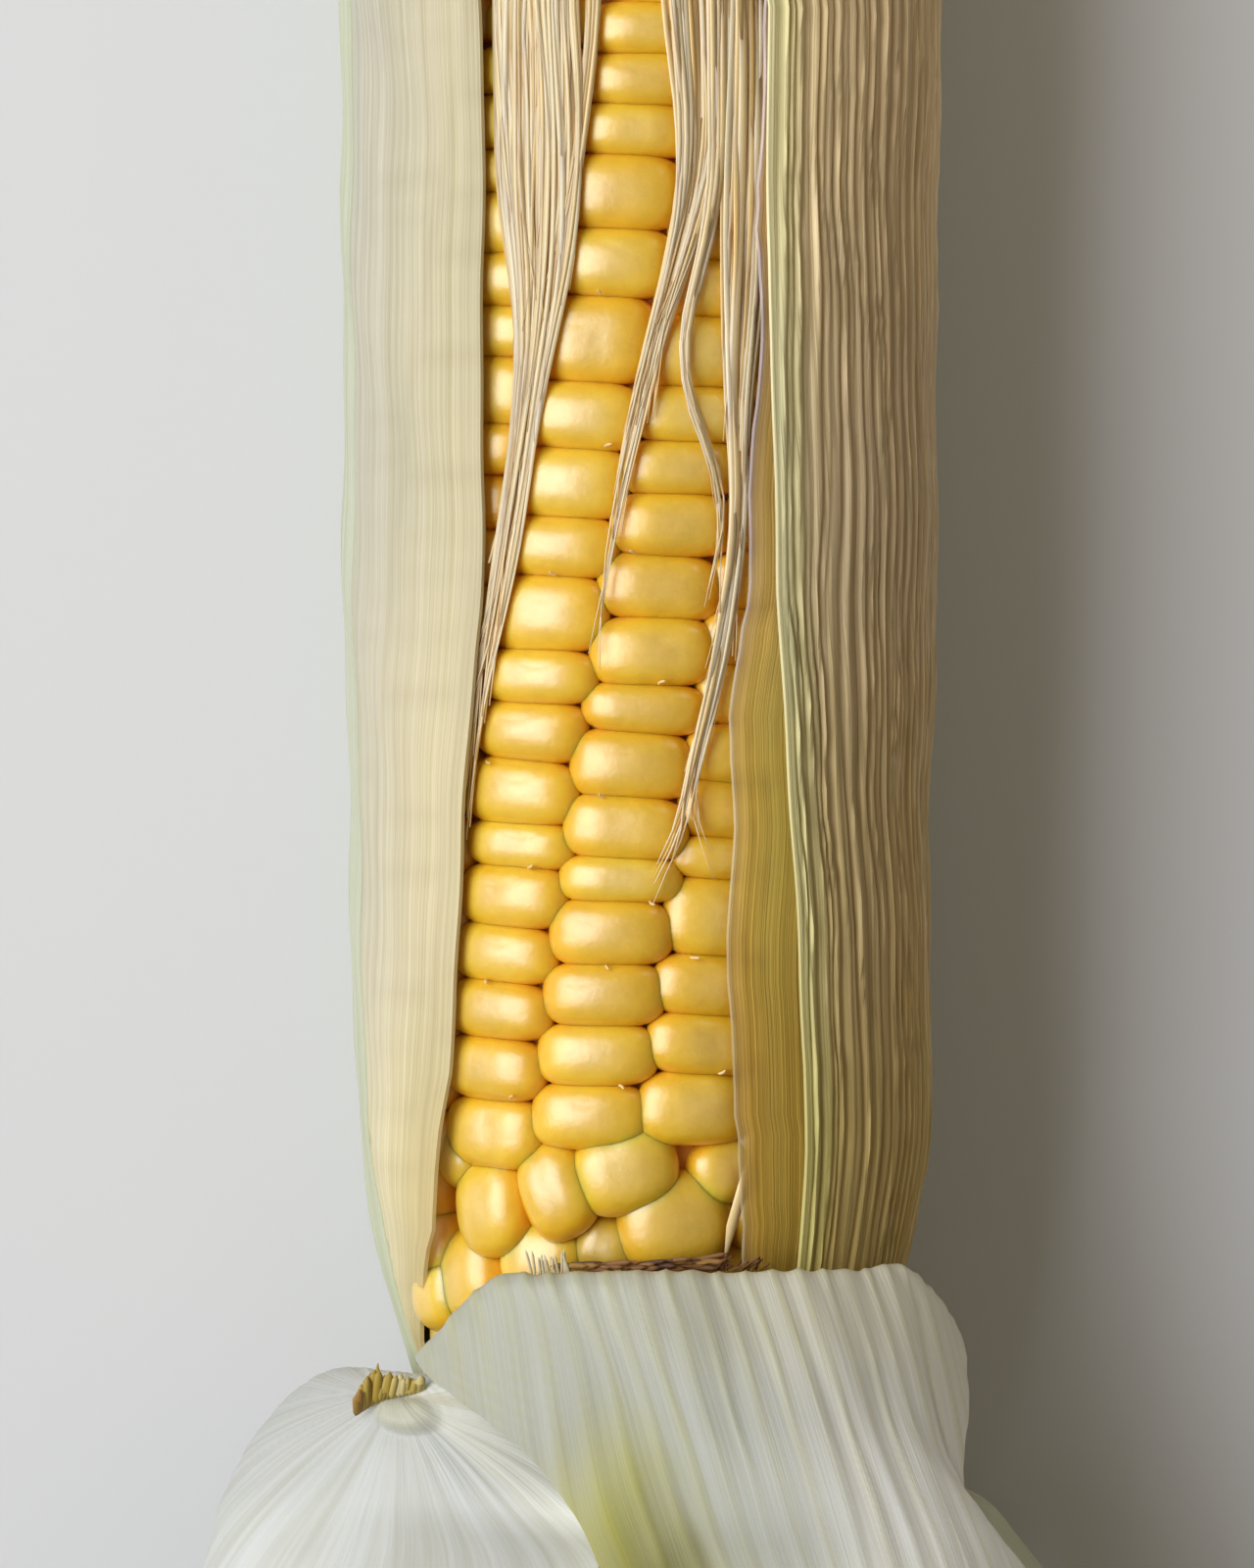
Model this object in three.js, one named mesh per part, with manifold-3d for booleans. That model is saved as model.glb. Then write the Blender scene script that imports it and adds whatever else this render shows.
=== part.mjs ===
// An ear of sweet corn lying on its back, with the husk peeled open over the kernels.
// Millimetres, +Z up. The ear lies along Y, its tip towards +Y, its shank towards -Y.
// The origin is on the surface that the ear lies on, under the middle of the flat spot it rests on.
//
// Shapes are worked out in the ear's own frame, whose axis is the cob's: s is the distance
// from the butt of the cob towards the tip, angles are measured round the cob from straight up,
// positive towards +X, and heights are above the cob's axis.
import * as THREE from "three";
import Module from "manifold-3d";
import { mergeVertices } from "three/addons/utils/BufferGeometryUtils.js";

const wasm = await Module();
wasm.setup();

// Driving dimensions of the whole ear.
const COB_RADIUS = 21.2; // to the crowns of the kernels, at the thickest place
const COB_LENGTH = 188;
const AXIS_HEIGHT = 23; // of the cob's axis above the surface it lies on
const REST_AT = 90; // distance of the origin from the butt
const KERNEL_ROWS = 14;

const DEG = Math.PI / 180;

// Small helpers for shapes.
const clamp = (x, low, high) => Math.min(high, Math.max(low, x));
const mix = (a, b, t) => a + (b - a) * t;
const ease = (from, to, x) => {
  const t = clamp((x - from) / (to - from), 0, 1);
  return t * t * (3 - 2 * t);
};
const ramp = (x, softness) => (x + Math.sqrt(x * x + softness * softness)) / 2;

// A repeatable draw between 0 and 1 for a whole number.
const draw = (n) => {
  const x = Math.sin(n * 12.9898 + 4.1) * 43758.5453;
  return x - Math.floor(x);
};

// Point round the cob's axis: radius, angle in degrees, distance from the butt.
const around = (radius, angle, s) =>
  new THREE.Vector3(radius * Math.sin(angle * DEG), s, radius * Math.cos(angle * DEG));

// A smooth curve through rows of numbers, read at t from 0 to 1.
function throughRows(rows, t) {
  const x = clamp(t, 0, 1) * (rows.length - 1);
  const i = Math.min(rows.length - 2, Math.floor(x));
  const f = x - i;
  const at = (k) => rows[clamp(k, 0, rows.length - 1)];
  return rows[i].map((_, c) => {
    const [p0, p1, p2, p3] = [at(i - 1)[c], at(i)[c], at(i + 1)[c], at(i + 2)[c]];
    const slopes = (p2 - p0) * f + (2 * p0 - 5 * p1 + 4 * p2 - p3) * f * f;
    return p1 + 0.5 * (slopes + (3 * p1 - p0 - 3 * p2 + p3) * f * f * f);
  });
}

// Lines through rows of numbers whose first column rises, read at that column's value.
function lineThrough(rows, x) {
  const last = rows.length - 1;
  if (x <= rows[0][0]) return rows[0][1];
  if (x >= rows[last][0]) return rows[last][1];
  const i = rows.findIndex((row) => row[0] > x) - 1;
  const [[x0, y0], [x1, y1]] = [rows[i], rows[i + 1]];
  return mix(y0, y1, (x - x0) / (x1 - x0));
}

// Closed geometry from a list of points and triangles.
function geometryOf(points, triangles) {
  const geometry = new THREE.BufferGeometry().setFromPoints(points);
  geometry.setIndex(triangles.flat());
  geometry.computeVertexNormals();
  return geometry;
}

// The cob with its kernels: a thick spindle, blunt at the butt and pointed at the tip.
const THICKEST_AT = 80;
const BARREL = { taper: 0.055, over: 60 }; // share of the radius lost that far from the thickest place
const BUTT = { share: 0.66, over: 24, roundness: 2.6 }; // the radius at the butt, and how it rounds out
const TIP_TAPER_FROM = 100;
const barrel = (s) => COB_RADIUS * (1 - BARREL.taper * ((s - THICKEST_AT) / BARREL.over) ** 2);
const buttRound = (s) => mix(BUTT.share, 1, 1 - (1 - clamp(s / BUTT.over, 0, 1)) ** BUTT.roundness);
const cobRadius = (s) => {
  const t = clamp((s - TIP_TAPER_FROM) / (COB_LENGTH - TIP_TAPER_FROM), 0, 1);
  return barrel(s) * buttRound(s) * (1 - t ** 2.3) ** 0.62;
};

// Rows of kernels wind a little round the cob, in degrees a mm. They wind faster past the first of
// these places, and slower past the second.
const ROW_STEP = 360 / KERNEL_ROWS;
const ROW_START = -45.2; // angle at the butt of the leftmost row that the open husk shows
const WIND = { rate: 0.42, faster: 0.15, fasterFrom: 55, slower: 0.4, slowerFrom: 110, softness: 6 };
const wound = (s) =>
  WIND.rate * s +
  WIND.faster * ramp(s - WIND.fasterFrom, WIND.softness) -
  WIND.slower * ramp(s - WIND.slowerFrom, WIND.softness);
const rowAngle = (row, s) => ROW_START + wound(s) + ROW_STEP * (row - 1);

// Lengths of the kernels along the three rows that the open husk shows, from the butt up.
const FIRST_KERNEL = 1.2;
const LAST_KERNEL = 181;
const SHOWN_ROWS = {
  1: [4.5, 4.6, 4.7, 5.1, 4.6, 4.3, 4.2, 4.4, 3.3, 4.7, 4.4, 3.8, 5.2, 4.4, 5.1, 4.9, 5.8, 5.0, 5.5,
    3.8, 3.8],
  2: [5.2, 5.0, 5.2, 4.7, 4.5, 4.5, 4.8, 3.2, 4.5, 4.9, 3.5, 5.0, 4.7, 4.6, 3.9, 4.0, 5.4],
  3: [4.9, 4.8, 5.0, 5.1, 4.4, 4.4, 5.8, 3.0, 4.2, 3.9],
};
const KERNEL_LENGTH = 4.35;
const KERNEL_SPREAD = 0.26; // how far a length may depart from that, as a share
const TIP_KERNELS = { after: 36, shorter: 0.85 };
const LEAST_STEP = 0.35; // between the ends of kernels in neighbouring rows

// Where each row is cut into kernels.
function rowCuts(row, neighbours) {
  const shown = SHOWN_ROWS[row] ?? [];
  const cuts = [FIRST_KERNEL];
  for (let n = 0; cuts[n] < LAST_KERNEL - 3; n++) {
    const drawn = KERNEL_LENGTH * (1 + KERNEL_SPREAD * (2 * draw(row * 97 + n) - 1));
    const crowded = n > TIP_KERNELS.after ? TIP_KERNELS.shorter : 1;
    let next = cuts[n] + (shown[n] ?? drawn * crowded);
    while (neighbours.some((cut) => Math.abs(cut - next) < LEAST_STEP)) next += 0.1;
    cuts.push(next);
  }
  cuts[cuts.length - 1] = LAST_KERNEL;
  return cuts;
}

const allCuts = [];
for (let row = 0; row < KERNEL_ROWS; row++) {
  const before = allCuts[row - 1] ?? [];
  const after = row === KERNEL_ROWS - 1 ? allCuts[0] : [];
  allCuts.push(rowCuts(row, [...before, ...after]));
}

// One closed surface: each kernel is a flat crown with four sides that slope to the seams,
// and a seam between rows has a point for each kernel end on either side of it.
const SEAM_DEPTH = 1.8;
const SEAM_SHARE = 0.13; // of the cob's radius, which the seams keep to where the cob is thin
const CROWN_ACROSS = 0.64; // the flat crown's share of the kernel's size
const CROWN_ALONG = 0.52;
function kernelSurface() {
  const points = [];
  const triangles = [];
  const add = (p) => points.push(p) - 1;
  const depth = (s) => Math.min(SEAM_DEPTH, SEAM_SHARE * cobRadius(s));
  const seams = allCuts.map((cuts, row) => {
    const places = [...new Set([...cuts, ...allCuts[(row + 1) % KERNEL_ROWS]])].sort((a, b) => a - b);
    return places.map((s) => ({
      s,
      id: add(around(cobRadius(s) - depth(s), rowAngle(row, s) + ROW_STEP / 2, s)),
    }));
  });
  const side = (crown, seam, facing) => {
    const middle = (points[crown[0]].y + points[crown[1]].y) / 2;
    let near = 0;
    const put = (a, b, c) => triangles.push(facing > 0 ? [b, a, c] : [a, b, c]);
    for (let i = 0; i + 1 < seam.length; i++) {
      if (near === 0 && (seam[i].s + seam[i + 1].s) / 2 > middle) {
        put(crown[0], seam[i].id, crown[1]);
        near = 1;
      }
      put(crown[near], seam[i].id, seam[i + 1].id);
    }
    if (near === 0) put(crown[0], seam[seam.length - 1].id, crown[1]);
  };
  allCuts.forEach((cuts, row) => {
    const left = seams[(row + KERNEL_ROWS - 1) % KERNEL_ROWS];
    const right = seams[row];
    for (let n = 0; n + 1 < cuts.length; n++) {
      const [low, high] = [cuts[n], cuts[n + 1]];
      const [middle, half] = [(low + high) / 2, ((high - low) / 2) * CROWN_ALONG];
      const reach = (ROW_STEP / 2) * CROWN_ACROSS;
      const corner = (across, along) => {
        const s = middle + half * along;
        return add(around(cobRadius(s), rowAngle(row, s) + reach * across, s));
      };
      const [a, b, c, d] = [corner(-1, -1), corner(1, -1), corner(1, 1), corner(-1, 1)];
      const within = (seam) => seam.filter((p) => p.s >= low && p.s <= high);
      const [leftSeam, rightSeam] = [within(left), within(right)];
      triangles.push([a, b, c], [a, c, d]);
      side([a, d], leftSeam, 1);
      side([b, c], rightSeam, -1);
      const [l0, l1] = [leftSeam[0].id, leftSeam[leftSeam.length - 1].id];
      const [r0, r1] = [rightSeam[0].id, rightSeam[rightSeam.length - 1].id];
      triangles.push([l0, b, a], [l0, r0, b], [d, c, l1], [l1, c, r1]);
    }
  });
  const butt = add(around(0, 0, 0));
  const tip = add(around(0, 0, COB_LENGTH));
  seams.forEach((seam, row) => {
    const next = seams[(row + 1) % KERNEL_ROWS];
    triangles.push([butt, next[0].id, seam[0].id]);
    triangles.push([tip, seam[seam.length - 1].id, next[next.length - 1].id]);
  });
  return geometryOf(points, triangles);
}

// The husk's own outline: over the cob it follows the kernels, below the butt it draws in to the
// shank, and past the cob's tip it closes in a long point.
const SHANK_RADIUS = 10.6;
const HUSK_END = 238;
const DRAWN_IN = { from: -23, to: 18 }; // stretch over which the husk draws in to the shank
const husk = (s) => {
  const t = clamp((s - TIP_TAPER_FROM) / (HUSK_END - TIP_TAPER_FROM), 0, 1);
  const body = barrel(s) * buttRound(s) * (1 - t * t) ** 0.9;
  const full = barrel(DRAWN_IN.to + 2) * buttRound(DRAWN_IN.to + 2);
  return s > DRAWN_IN.to + 2 ? body : mix(SHANK_RADIUS, full, ease(DRAWN_IN.from, DRAWN_IN.to, s));
};
const LEAF_THICKNESS = 0.6;
const LAYERS = [0.5, 1.55, 2.7]; // gap from the husk's outline to each layer's inner face
const tipLift = (s) => ease(92, 114, s); // room for the silk under the closed husk

// A thin closed blade on a grid: surface(u, v) is its middle, u from -1 to 1 across and v from 0 to 1
// along. The two faces are split alike.
function blade(surface, across, along, floor) {
  const points = [];
  const triangles = [];
  const step = 1e-3;
  const uAt = (i) => -1 + (2 * i) / across;
  for (const face of [0.5, -0.5]) {
    for (let j = 0; j <= along; j++) {
      for (let i = 0; i <= across; i++) {
        const [u, v] = [uAt(i), j / along];
        const [v0, v1] = [Math.max(0, v - step), Math.min(1, v + step)];
        const du = surface(u + step, v).sub(surface(u - step, v));
        const dv = surface(u, v1).sub(surface(u, v0));
        const outward = du.cross(dv).normalize().multiplyScalar(face * LEAF_THICKNESS);
        const p = surface(u, v).add(outward);
        if (floor) p.z = Math.max(p.z, -AXIS_HEIGHT + (face > 0 ? 0 : LEAF_THICKNESS));
        points.push(p);
      }
    }
  }
  const width = across + 1;
  const back = width * (along + 1);
  for (let j = 0; j < along; j++) {
    for (let i = 0; i < across; i++) {
      const [a, b] = [j * width + i, j * width + i + 1];
      const [c, d] = [b + width, a + width];
      triangles.push([a, b, c], [a, c, d], [back + b, back + a, back + c], [back + c, back + a, back + d]);
    }
  }
  const wall = (a, b) => triangles.push([a, back + a, back + b], [a, back + b, b]);
  for (let j = 0; j < along; j++) {
    wall((j + 1) * width, j * width);
    wall(j * width + across, (j + 1) * width + across);
  }
  for (let i = 0; i < across; i++) {
    wall(i, i + 1);
    wall(along * width + i + 1, along * width + i);
  }
  return geometryOf(points, triangles);
}

// A leaf still wrapped round the ear. open and far are its two edges' angles at each distance,
// and past pointFrom it narrows to its tip, which is cut just short of a point.
const TIP_SHARE = 0.985;
function wrapped({ layer, from, to, pointFrom, open, far, flare }) {
  return (u, v) => {
    const s = mix(from, to, v);
    const [a, b] = [open(s), far(s)];
    const point = Math.sqrt(1 - (clamp((s - pointFrom) / (to - pointFrom), 0, 1) * TIP_SHARE) ** 2);
    const angle = (a + b) / 2 + ((b - a) / 2) * u * point;
    const gap = LAYERS[layer] + LEAF_THICKNESS / 2 + tipLift(s) + (flare ? flare(u, s) : 0);
    return around(husk(s) + gap, angle, s);
  };
}

// Angles of the husk's edges beside the open window, against the distance from the butt.
const LEFT_EDGE = [[-20, -78], [0.7, -72], [10, -51], [16, -46], [22, -42], [29, -40.4], [36, -38.5],
  [44, -36.3], [57, -32.4], [64, -31.7], [112, -31.7], [150, -6], [205, 0]];
const RIGHT_INNER_EDGE = [[-20, 25], [11, 24], [22, 19.5], [47, 19], [58, 21.7], [73, 24.3], [112, 25.8],
  [150, 8], [196, 10]];
const RIGHT_OUTER_EDGE = [[-20, 36], [8, 34.5], [22, 33.5], [36, 31.5], [58, 27.6], [80, 25.2], [102, 25.2],
  [150, 2], [214, 0]];
const RIGHT_FLARE = 1.1; // the pleated leaf stands off near the butt
const bump = (u, s) => RIGHT_FLARE * ease(0.6, -0.4, u) * ease(-10, 6, s) * (1 - ease(14, 45, s));

const WRAPPED_LEAVES = {
  husk_left_inner: { layer: 0, from: -20, to: 205, pointFrom: 150, open: (s) => lineThrough(LEFT_EDGE, s),
    far: () => -136, flip: true },
  husk_right_inner: { layer: 0, from: -19, to: 196, pointFrom: 145, far: () => 98,
    open: (s) => lineThrough(RIGHT_INNER_EDGE, s) },
  husk_right_pleated: { layer: 1, from: -19, to: 214, pointFrom: 160, far: () => 128, flare: bump,
    open: (s) => lineThrough(RIGHT_OUTER_EDGE, s) },
  husk_left_outer: { layer: 1, from: -20, to: 198, pointFrom: 140, flip: true,
    open: () => -80, far: () => -152 },
  husk_back: { layer: 2, from: -21, to: 221, pointFrom: 165, open: () => 110, far: () => 231, floor: true },
};

// A peeled leaf is swept through cross-sections: distance from the butt, sideways and upwards
// place of its middle, tilt in degrees, how sharply it is curved across (1 / radius, negative where
// its edges turn up) and half its width.
function swept(stations, droop, dip) {
  return (u, v) => {
    const [s, x, up, tilt, curve, half] = throughRows(stations, v);
    const turn = curve * half * u;
    const flat = Math.abs(curve) < 1e-5;
    const across = flat ? half * u : Math.sin(turn) / curve;
    const sag = flat ? 0 : (Math.cos(turn) - 1) / curve;
    const [sin, cos] = [Math.sin(tilt * DEG), Math.cos(tilt * DEG)];
    const back = droop ? droop(u, v) : 0;
    const low = up - (dip ? dip(u, v) : 0);
    return new THREE.Vector3(x + across * cos + sag * sin, s - back, low - across * sin + sag * cos);
  };
}

const FRONT_STATIONS = [
  [-11, 10, 12.5, 39, 1 / 16, 7.5],
  [-6, 8.8, 15.6, 29, 1 / 17.9, 13.4],
  [1, 6, 19.7, 16.8, 1 / 20.6, 23.2],
  [6, 7.1, 21.7, 18, 1 / 22.8, 25.4],
  [7.6, 7.4, 23.2, 17.5, 1 / 24.2, 25.8],
  [6.4, 7.9, 24.8, 16.5, 1 / 25.4, 25.2],
  [1.5, 10, 25.6, 16, 1 / 25, 19.6],
  [-4, 11.6, 25.2, 15, 1 / 22.5, 16.4],
  [-10, 15.2, 24.6, 13, 1 / 19, 17.9],
  [-16, 18.8, 22.4, 10, 1 / 18, 18.6],
  [-28, 22.8, 17.6, 8, 1 / 19, 19],
  [-44, 26, 8.6, 5, 1 / 23, 18.4],
  [-62, 29, -3.2, 3, 1 / 30, 17.2],
  [-80, 32, -13.6, 2, 1 / 46, 15],
  [-98, 34.8, -20, 1, 1 / 120, 11.6],
  [-114, 37.4, -21.9, 0, -1 / 60, 7],
  [-127, 40, -22.3, 0, -1 / 40, 1.3],
];
const LEFT_STATIONS = [
  [-19, -14.4, 0.2, -91, 1 / 14.4, 7],
  [-11, -16.8, 0.6, -88, 1 / 16.6, 9],
  [-4.5, -19.8, 2.6, -82, 1 / 18.6, 11.5],
  [-1.2, -21.4, 6.2, -70, 1 / 19.6, 13.5],
  [-1.4, -22.6, 10.4, -58, 1 / 19.6, 16],
  [-5, -23.6, 13.8, -44, 1 / 18.8, 19.9],
  [-10, -23.6, 16.2, -32, 1 / 17.8, 21.6],
  [-16, -23.4, 16.2, -24, 1 / 17.4, 22.4],
  [-27, -26, 14.6, -18, 1 / 19, 21.2],
  [-42, -30, 8, -12, 1 / 24, 20],
  [-59, -33, -2.6, -8, 1 / 34, 18.5],
  [-76, -37, -13, -4, 1 / 60, 15.5],
  [-92, -40.5, -20, -1, 1 / 160, 12],
  [-106, -43, -22, 0, -1 / 60, 7],
  [-117, -44.5, -22.3, 0, -1 / 40, 1.3],
];
const RIGHT_STATIONS = [
  [-21, 15.4, 0.4, 88, 1 / 15.4, 9],
  [-16, 19, 0.6, 86, 1 / 18, 12],
  [-12.4, 23, 1, 80, 1 / 21, 14.5],
  [-12.6, 26, 0.4, 72, 1 / 22, 16.5],
  [-17.5, 29, -1.4, 64, 1 / 22, 18],
  [-26, 33.5, -4, 54, 1 / 25, 18.6],
  [-39, 40, -8.6, 40, 1 / 32, 17.6],
  [-54, 47, -13.8, 24, 1 / 55, 15],
  [-69, 53, -18.8, 10, 1 / 120, 11.5],
  [-83, 57.5, -21.7, 2, -1 / 70, 7],
  [-94, 60.5, -22.3, 0, -1 / 50, 1.3],
];
// The fold of the front leaf falls away at both ends, where it goes round the butt, and the fold of
// the left leaf falls away towards the floor.
const FRONT_DROOP = { left: 7, right: 5.5 };
const LEFT_DROOP = 2;
const frontDroop = (u, v) => {
  const late = ease(0.08, 0.22, v) * (1 - ease(0.5, 0.75, v));
  const [left, right] = [ease(-0.62, -1.05, u) ** 1.3, ease(0.55, 1.1, u)];
  return late * (FRONT_DROOP.left * left + FRONT_DROOP.right * right);
};
const leftDroop = (u, v) =>
  LEFT_DROOP * ease(0.1, 0.25, v) * (1 - ease(0.5, 0.8, v)) * ease(0.2, -1.1, u);
// Past its fold the front leaf lies on the left leaf, and both swell up where they meet.
const FRONT_SWELL = 2.2;
const LEFT_SWELL = 9;
const frontDip = (u, v) =>
  -FRONT_SWELL * ease(-0.4, -1, u) * ease(0.40, 0.52, v) * (1 - ease(0.65, 0.85, v));
const leftDip = (u, v) =>
  -LEFT_SWELL * clamp((u - 0.1) / 0.9, 0, 1) ** 2 * ease(0.34, 0.46, v) * (1 - ease(0.6, 0.85, v));

// Silk lies on the kernels in locks. A lock is led down from the tip by its middle: distance from
// the butt, angle and half its spread in mm.
const SILK_THICKNESS = 0.6;
const LOCKS = {
  silk_left_lock: { strands: 5, width: 1.5, ends: [66, 62, 74, 40, 58],
    path: [[186, -75, 0.3], [160, -26, 2], [130, -20.5, 3], [102, -21.5, 2.8], [94, -22, 2.7],
      [80, -22.5, 1.8], [70, -24.5, 1], [58, -28.5, 0.7], [44, -33.5, 0.3]] },
  silk_middle_lock: { strands: 3, width: 1.4, ends: [54, 50, 58],
    path: [[186, 5, 0.3], [160, 6, 1.1], [130, 9, 1.3], [102, 9.6, 1.3], [92, 9.4, 1.2], [80, 6.5, 0.9],
      [72, 2, 0.7], [64, -1.5, 0.5], [54, -5.5, 0.4]] },
  silk_right_lock: { strands: 4, width: 1.4, ends: [42, 38, 52, 60],
    path: [[186, 85, 0.3], [160, 24, 0.9], [130, 20.5, 1], [102, 20.2, 1], [90, 19.6, 1], [78, 18, 1.2],
      [66, 16.5, 1.2], [52, 15, 0.8], [42, 11, 0.5]] },
};

// Reads a lock's path at a distance from the butt.
function alongPath(path, s) {
  const rising = [...path].reverse();
  return [1, 2].map((column) => lineThrough(rising.map((row) => [row[0], row[column]]), s));
}

// A flat tapering strand with square ends, from rows of centre, sideways direction and up direction.
function strand(rows) {
  const points = [];
  const triangles = [];
  rows.forEach(({ centre, side, up, width }) => {
    for (const [across, lift] of [[-1, 0], [1, 0], [1, 1], [-1, 1]]) {
      const p = centre.clone().addScaledVector(side, (across * width) / 2);
      points.push(p.addScaledVector(up, lift * SILK_THICKNESS));
    }
  });
  for (let n = 0; n + 1 < rows.length; n++) {
    for (let k = 0; k < 4; k++) {
      const [a, b] = [4 * n + k, 4 * n + ((k + 1) % 4)];
      triangles.push([a, b + 4, b], [a, a + 4, b + 4]);
    }
  }
  const end = points.length - 4;
  triangles.push([0, 1, 2], [0, 2, 3], [end, end + 2, end + 1], [end, end + 3, end + 2]);
  return geometryOf(points, triangles);
}

const asSolid = (geometry) => {
  const bare = geometry.clone();
  bare.deleteAttribute("normal");
  const merged = mergeVertices(bare, 1e-4);
  return new wasm.Manifold(
    new wasm.Mesh({
      numProp: 3,
      vertProperties: new Float32Array(merged.attributes.position.array),
      triVerts: new Uint32Array(merged.index.array),
    }),
  );
};

// Joins strands into one body.
function fused(geometries) {
  const whole = geometries.map(asSolid).reduce((sum, one) => sum.add(one));
  const mesh = whole.getMesh();
  const geometry = new THREE.BufferGeometry();
  geometry.setAttribute("position", new THREE.BufferAttribute(new Float32Array(mesh.vertProperties), 3));
  geometry.setIndex(new THREE.BufferAttribute(new Uint32Array(mesh.triVerts), 1));
  geometry.computeVertexNormals();
  return geometry;
}

const SILK_GAP = 0.42;
const SILK_STAGGER = 0.04; // by which every other strand stands higher, so that they join cleanly
const SILK_STEP = 16; // between the cross-sections of a strand
const SILK_LIFT = 1.2; // by which the locks rise towards the tip
function silkLock({ strands, width, ends, path }) {
  const made = [];
  const top = path[0][0];
  for (let k = 0; k < strands; k++) {
    const place = strands > 1 ? -1 + (2 * k) / (strands - 1) : 0;
    const steps = Math.round((top - ends[k]) / SILK_STEP);
    const rows = [];
    for (let n = 0; n <= steps; n++) {
      const s = mix(ends[k], top, n / steps);
      const [angle, spread] = alongPath(path, s);
      const radius = cobRadius(s) + SILK_GAP + SILK_STAGGER * (k % 2) + SILK_LIFT * ease(130, 165, s);
      const turned = angle + (place * spread) / radius / DEG;
      const narrow = n === 0 ? 0.45 : 1;
      rows.push({
        centre: around(radius, turned, s),
        side: around(1, turned + 90, 0),
        up: around(1, turned, 0),
        width: width * narrow,
      });
    }
    made.push(strand(rows));
  }
  return fused(made);
}

// The tuft of silk that comes out of the husk's tip.
const TUFT = { strands: 9, from: 189.5, to: 236, width: 1.7, spread: 6, sink: 3 };
function silkTuft() {
  const made = [];
  for (let k = 0; k < TUFT.strands; k++) {
    const way = (360 * k) / TUFT.strands + 25 * draw(k + 500);
    const reach = TUFT.spread * (0.35 + 0.65 * draw(k + 520));
    const length = (TUFT.to - TUFT.from) * (0.72 + 0.28 * draw(k + 540));
    const rows = [];
    for (let n = 0; n <= 4; n++) {
      const t = n / 4;
      const centre = around(0.5 + reach * t ** 2.2, way, TUFT.from + length * t);
      const width = TUFT.width * (1 - 0.6 * t);
      centre.z -= TUFT.sink * t ** 2.5;
      rows.push({ centre, side: around(1, way + 90, 0), up: around(1, way, 0), width });
    }
    made.push(strand(rows));
  }
  return fused(made);
}

// The shank that the ear grew on, cut off below the husk, with a ring where a leaf grew.
const SHANK = { top: -1.2, cut: -33, radius: 9.3, thin: 8.7, swell: 9.9, chamfer: 0.4, sides: 16 };
function shank() {
  const { top, cut, radius, thin, swell, chamfer } = SHANK;
  const outline = [[0, cut], [thin - chamfer, cut], [thin, cut + 1], [thin, -28], [radius, -26.5],
    [radius, -25], [thin, -23.5], [swell, -14], [radius, -4], [thin - chamfer, top], [0, top]];
  return new THREE.LatheGeometry(outline.map(([r, y]) => new THREE.Vector2(r, y)), SHANK.sides);
}

// Materials, as seen on the ear.
const finish = (color, roughness) => new THREE.MeshStandardMaterial({ color, roughness, metalness: 0 });
const KERNEL = finish(0xe9b93c, 0.32);
const HUSK_CREAM = finish(0xd9cfb0, 0.6);
const HUSK_TAN = finish(0xa9956a, 0.7);
const HUSK_GREEN = finish(0xb4b884, 0.65);
const HUSK_PALE = finish(0xd3d5c6, 0.5);
const SILK = finish(0xe3c9a6, 0.45);
const SHANK_GREEN = finish(0xc3c99a, 0.6);

const ear = new THREE.Group();
ear.position.set(0, -REST_AT, AXIS_HEIGHT);

function piece(name, geometry, material) {
  const mesh = new THREE.Mesh(geometry, material);
  mesh.name = name;
  ear.add(mesh);
}

piece("cob_with_kernels", kernelSurface(), KERNEL);
piece("shank", shank(), SHANK_GREEN);

const WRAPPED_FINISH = {
  husk_left_inner: HUSK_CREAM,
  husk_right_inner: HUSK_CREAM,
  husk_right_pleated: HUSK_TAN,
  husk_left_outer: HUSK_GREEN,
  husk_back: HUSK_GREEN,
};
const WRAPPED_GRID = [9, 17]; // cells across and along a leaf that is still wrapped
for (const [name, leaf] of Object.entries(WRAPPED_LEAVES)) {
  const side = leaf.flip ? -1 : 1;
  const surface = wrapped(leaf);
  const turned = (u, v) => surface(side * u, v);
  piece(name, blade(turned, ...WRAPPED_GRID, leaf.floor), WRAPPED_FINISH[name]);
}

const FRONT_GRID = [10, 24];
const LEFT_GRID = [9, 20];
const RIGHT_GRID = [8, 15];
piece("husk_peeled_front", blade(swept(FRONT_STATIONS, frontDroop, frontDip), ...FRONT_GRID), HUSK_PALE);
piece("husk_peeled_left", blade(swept(LEFT_STATIONS, leftDroop, leftDip), ...LEFT_GRID), HUSK_PALE);
piece("husk_peeled_right", blade(swept(RIGHT_STATIONS), ...RIGHT_GRID), HUSK_GREEN);

for (const [name, lock] of Object.entries(LOCKS)) piece(name, silkLock(lock), SILK);
piece("silk_tuft", silkTuft(), SILK);

export default ear;
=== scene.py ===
import math
import random

import bmesh
import bpy
from mathutils import Matrix, Vector, noise


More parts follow.
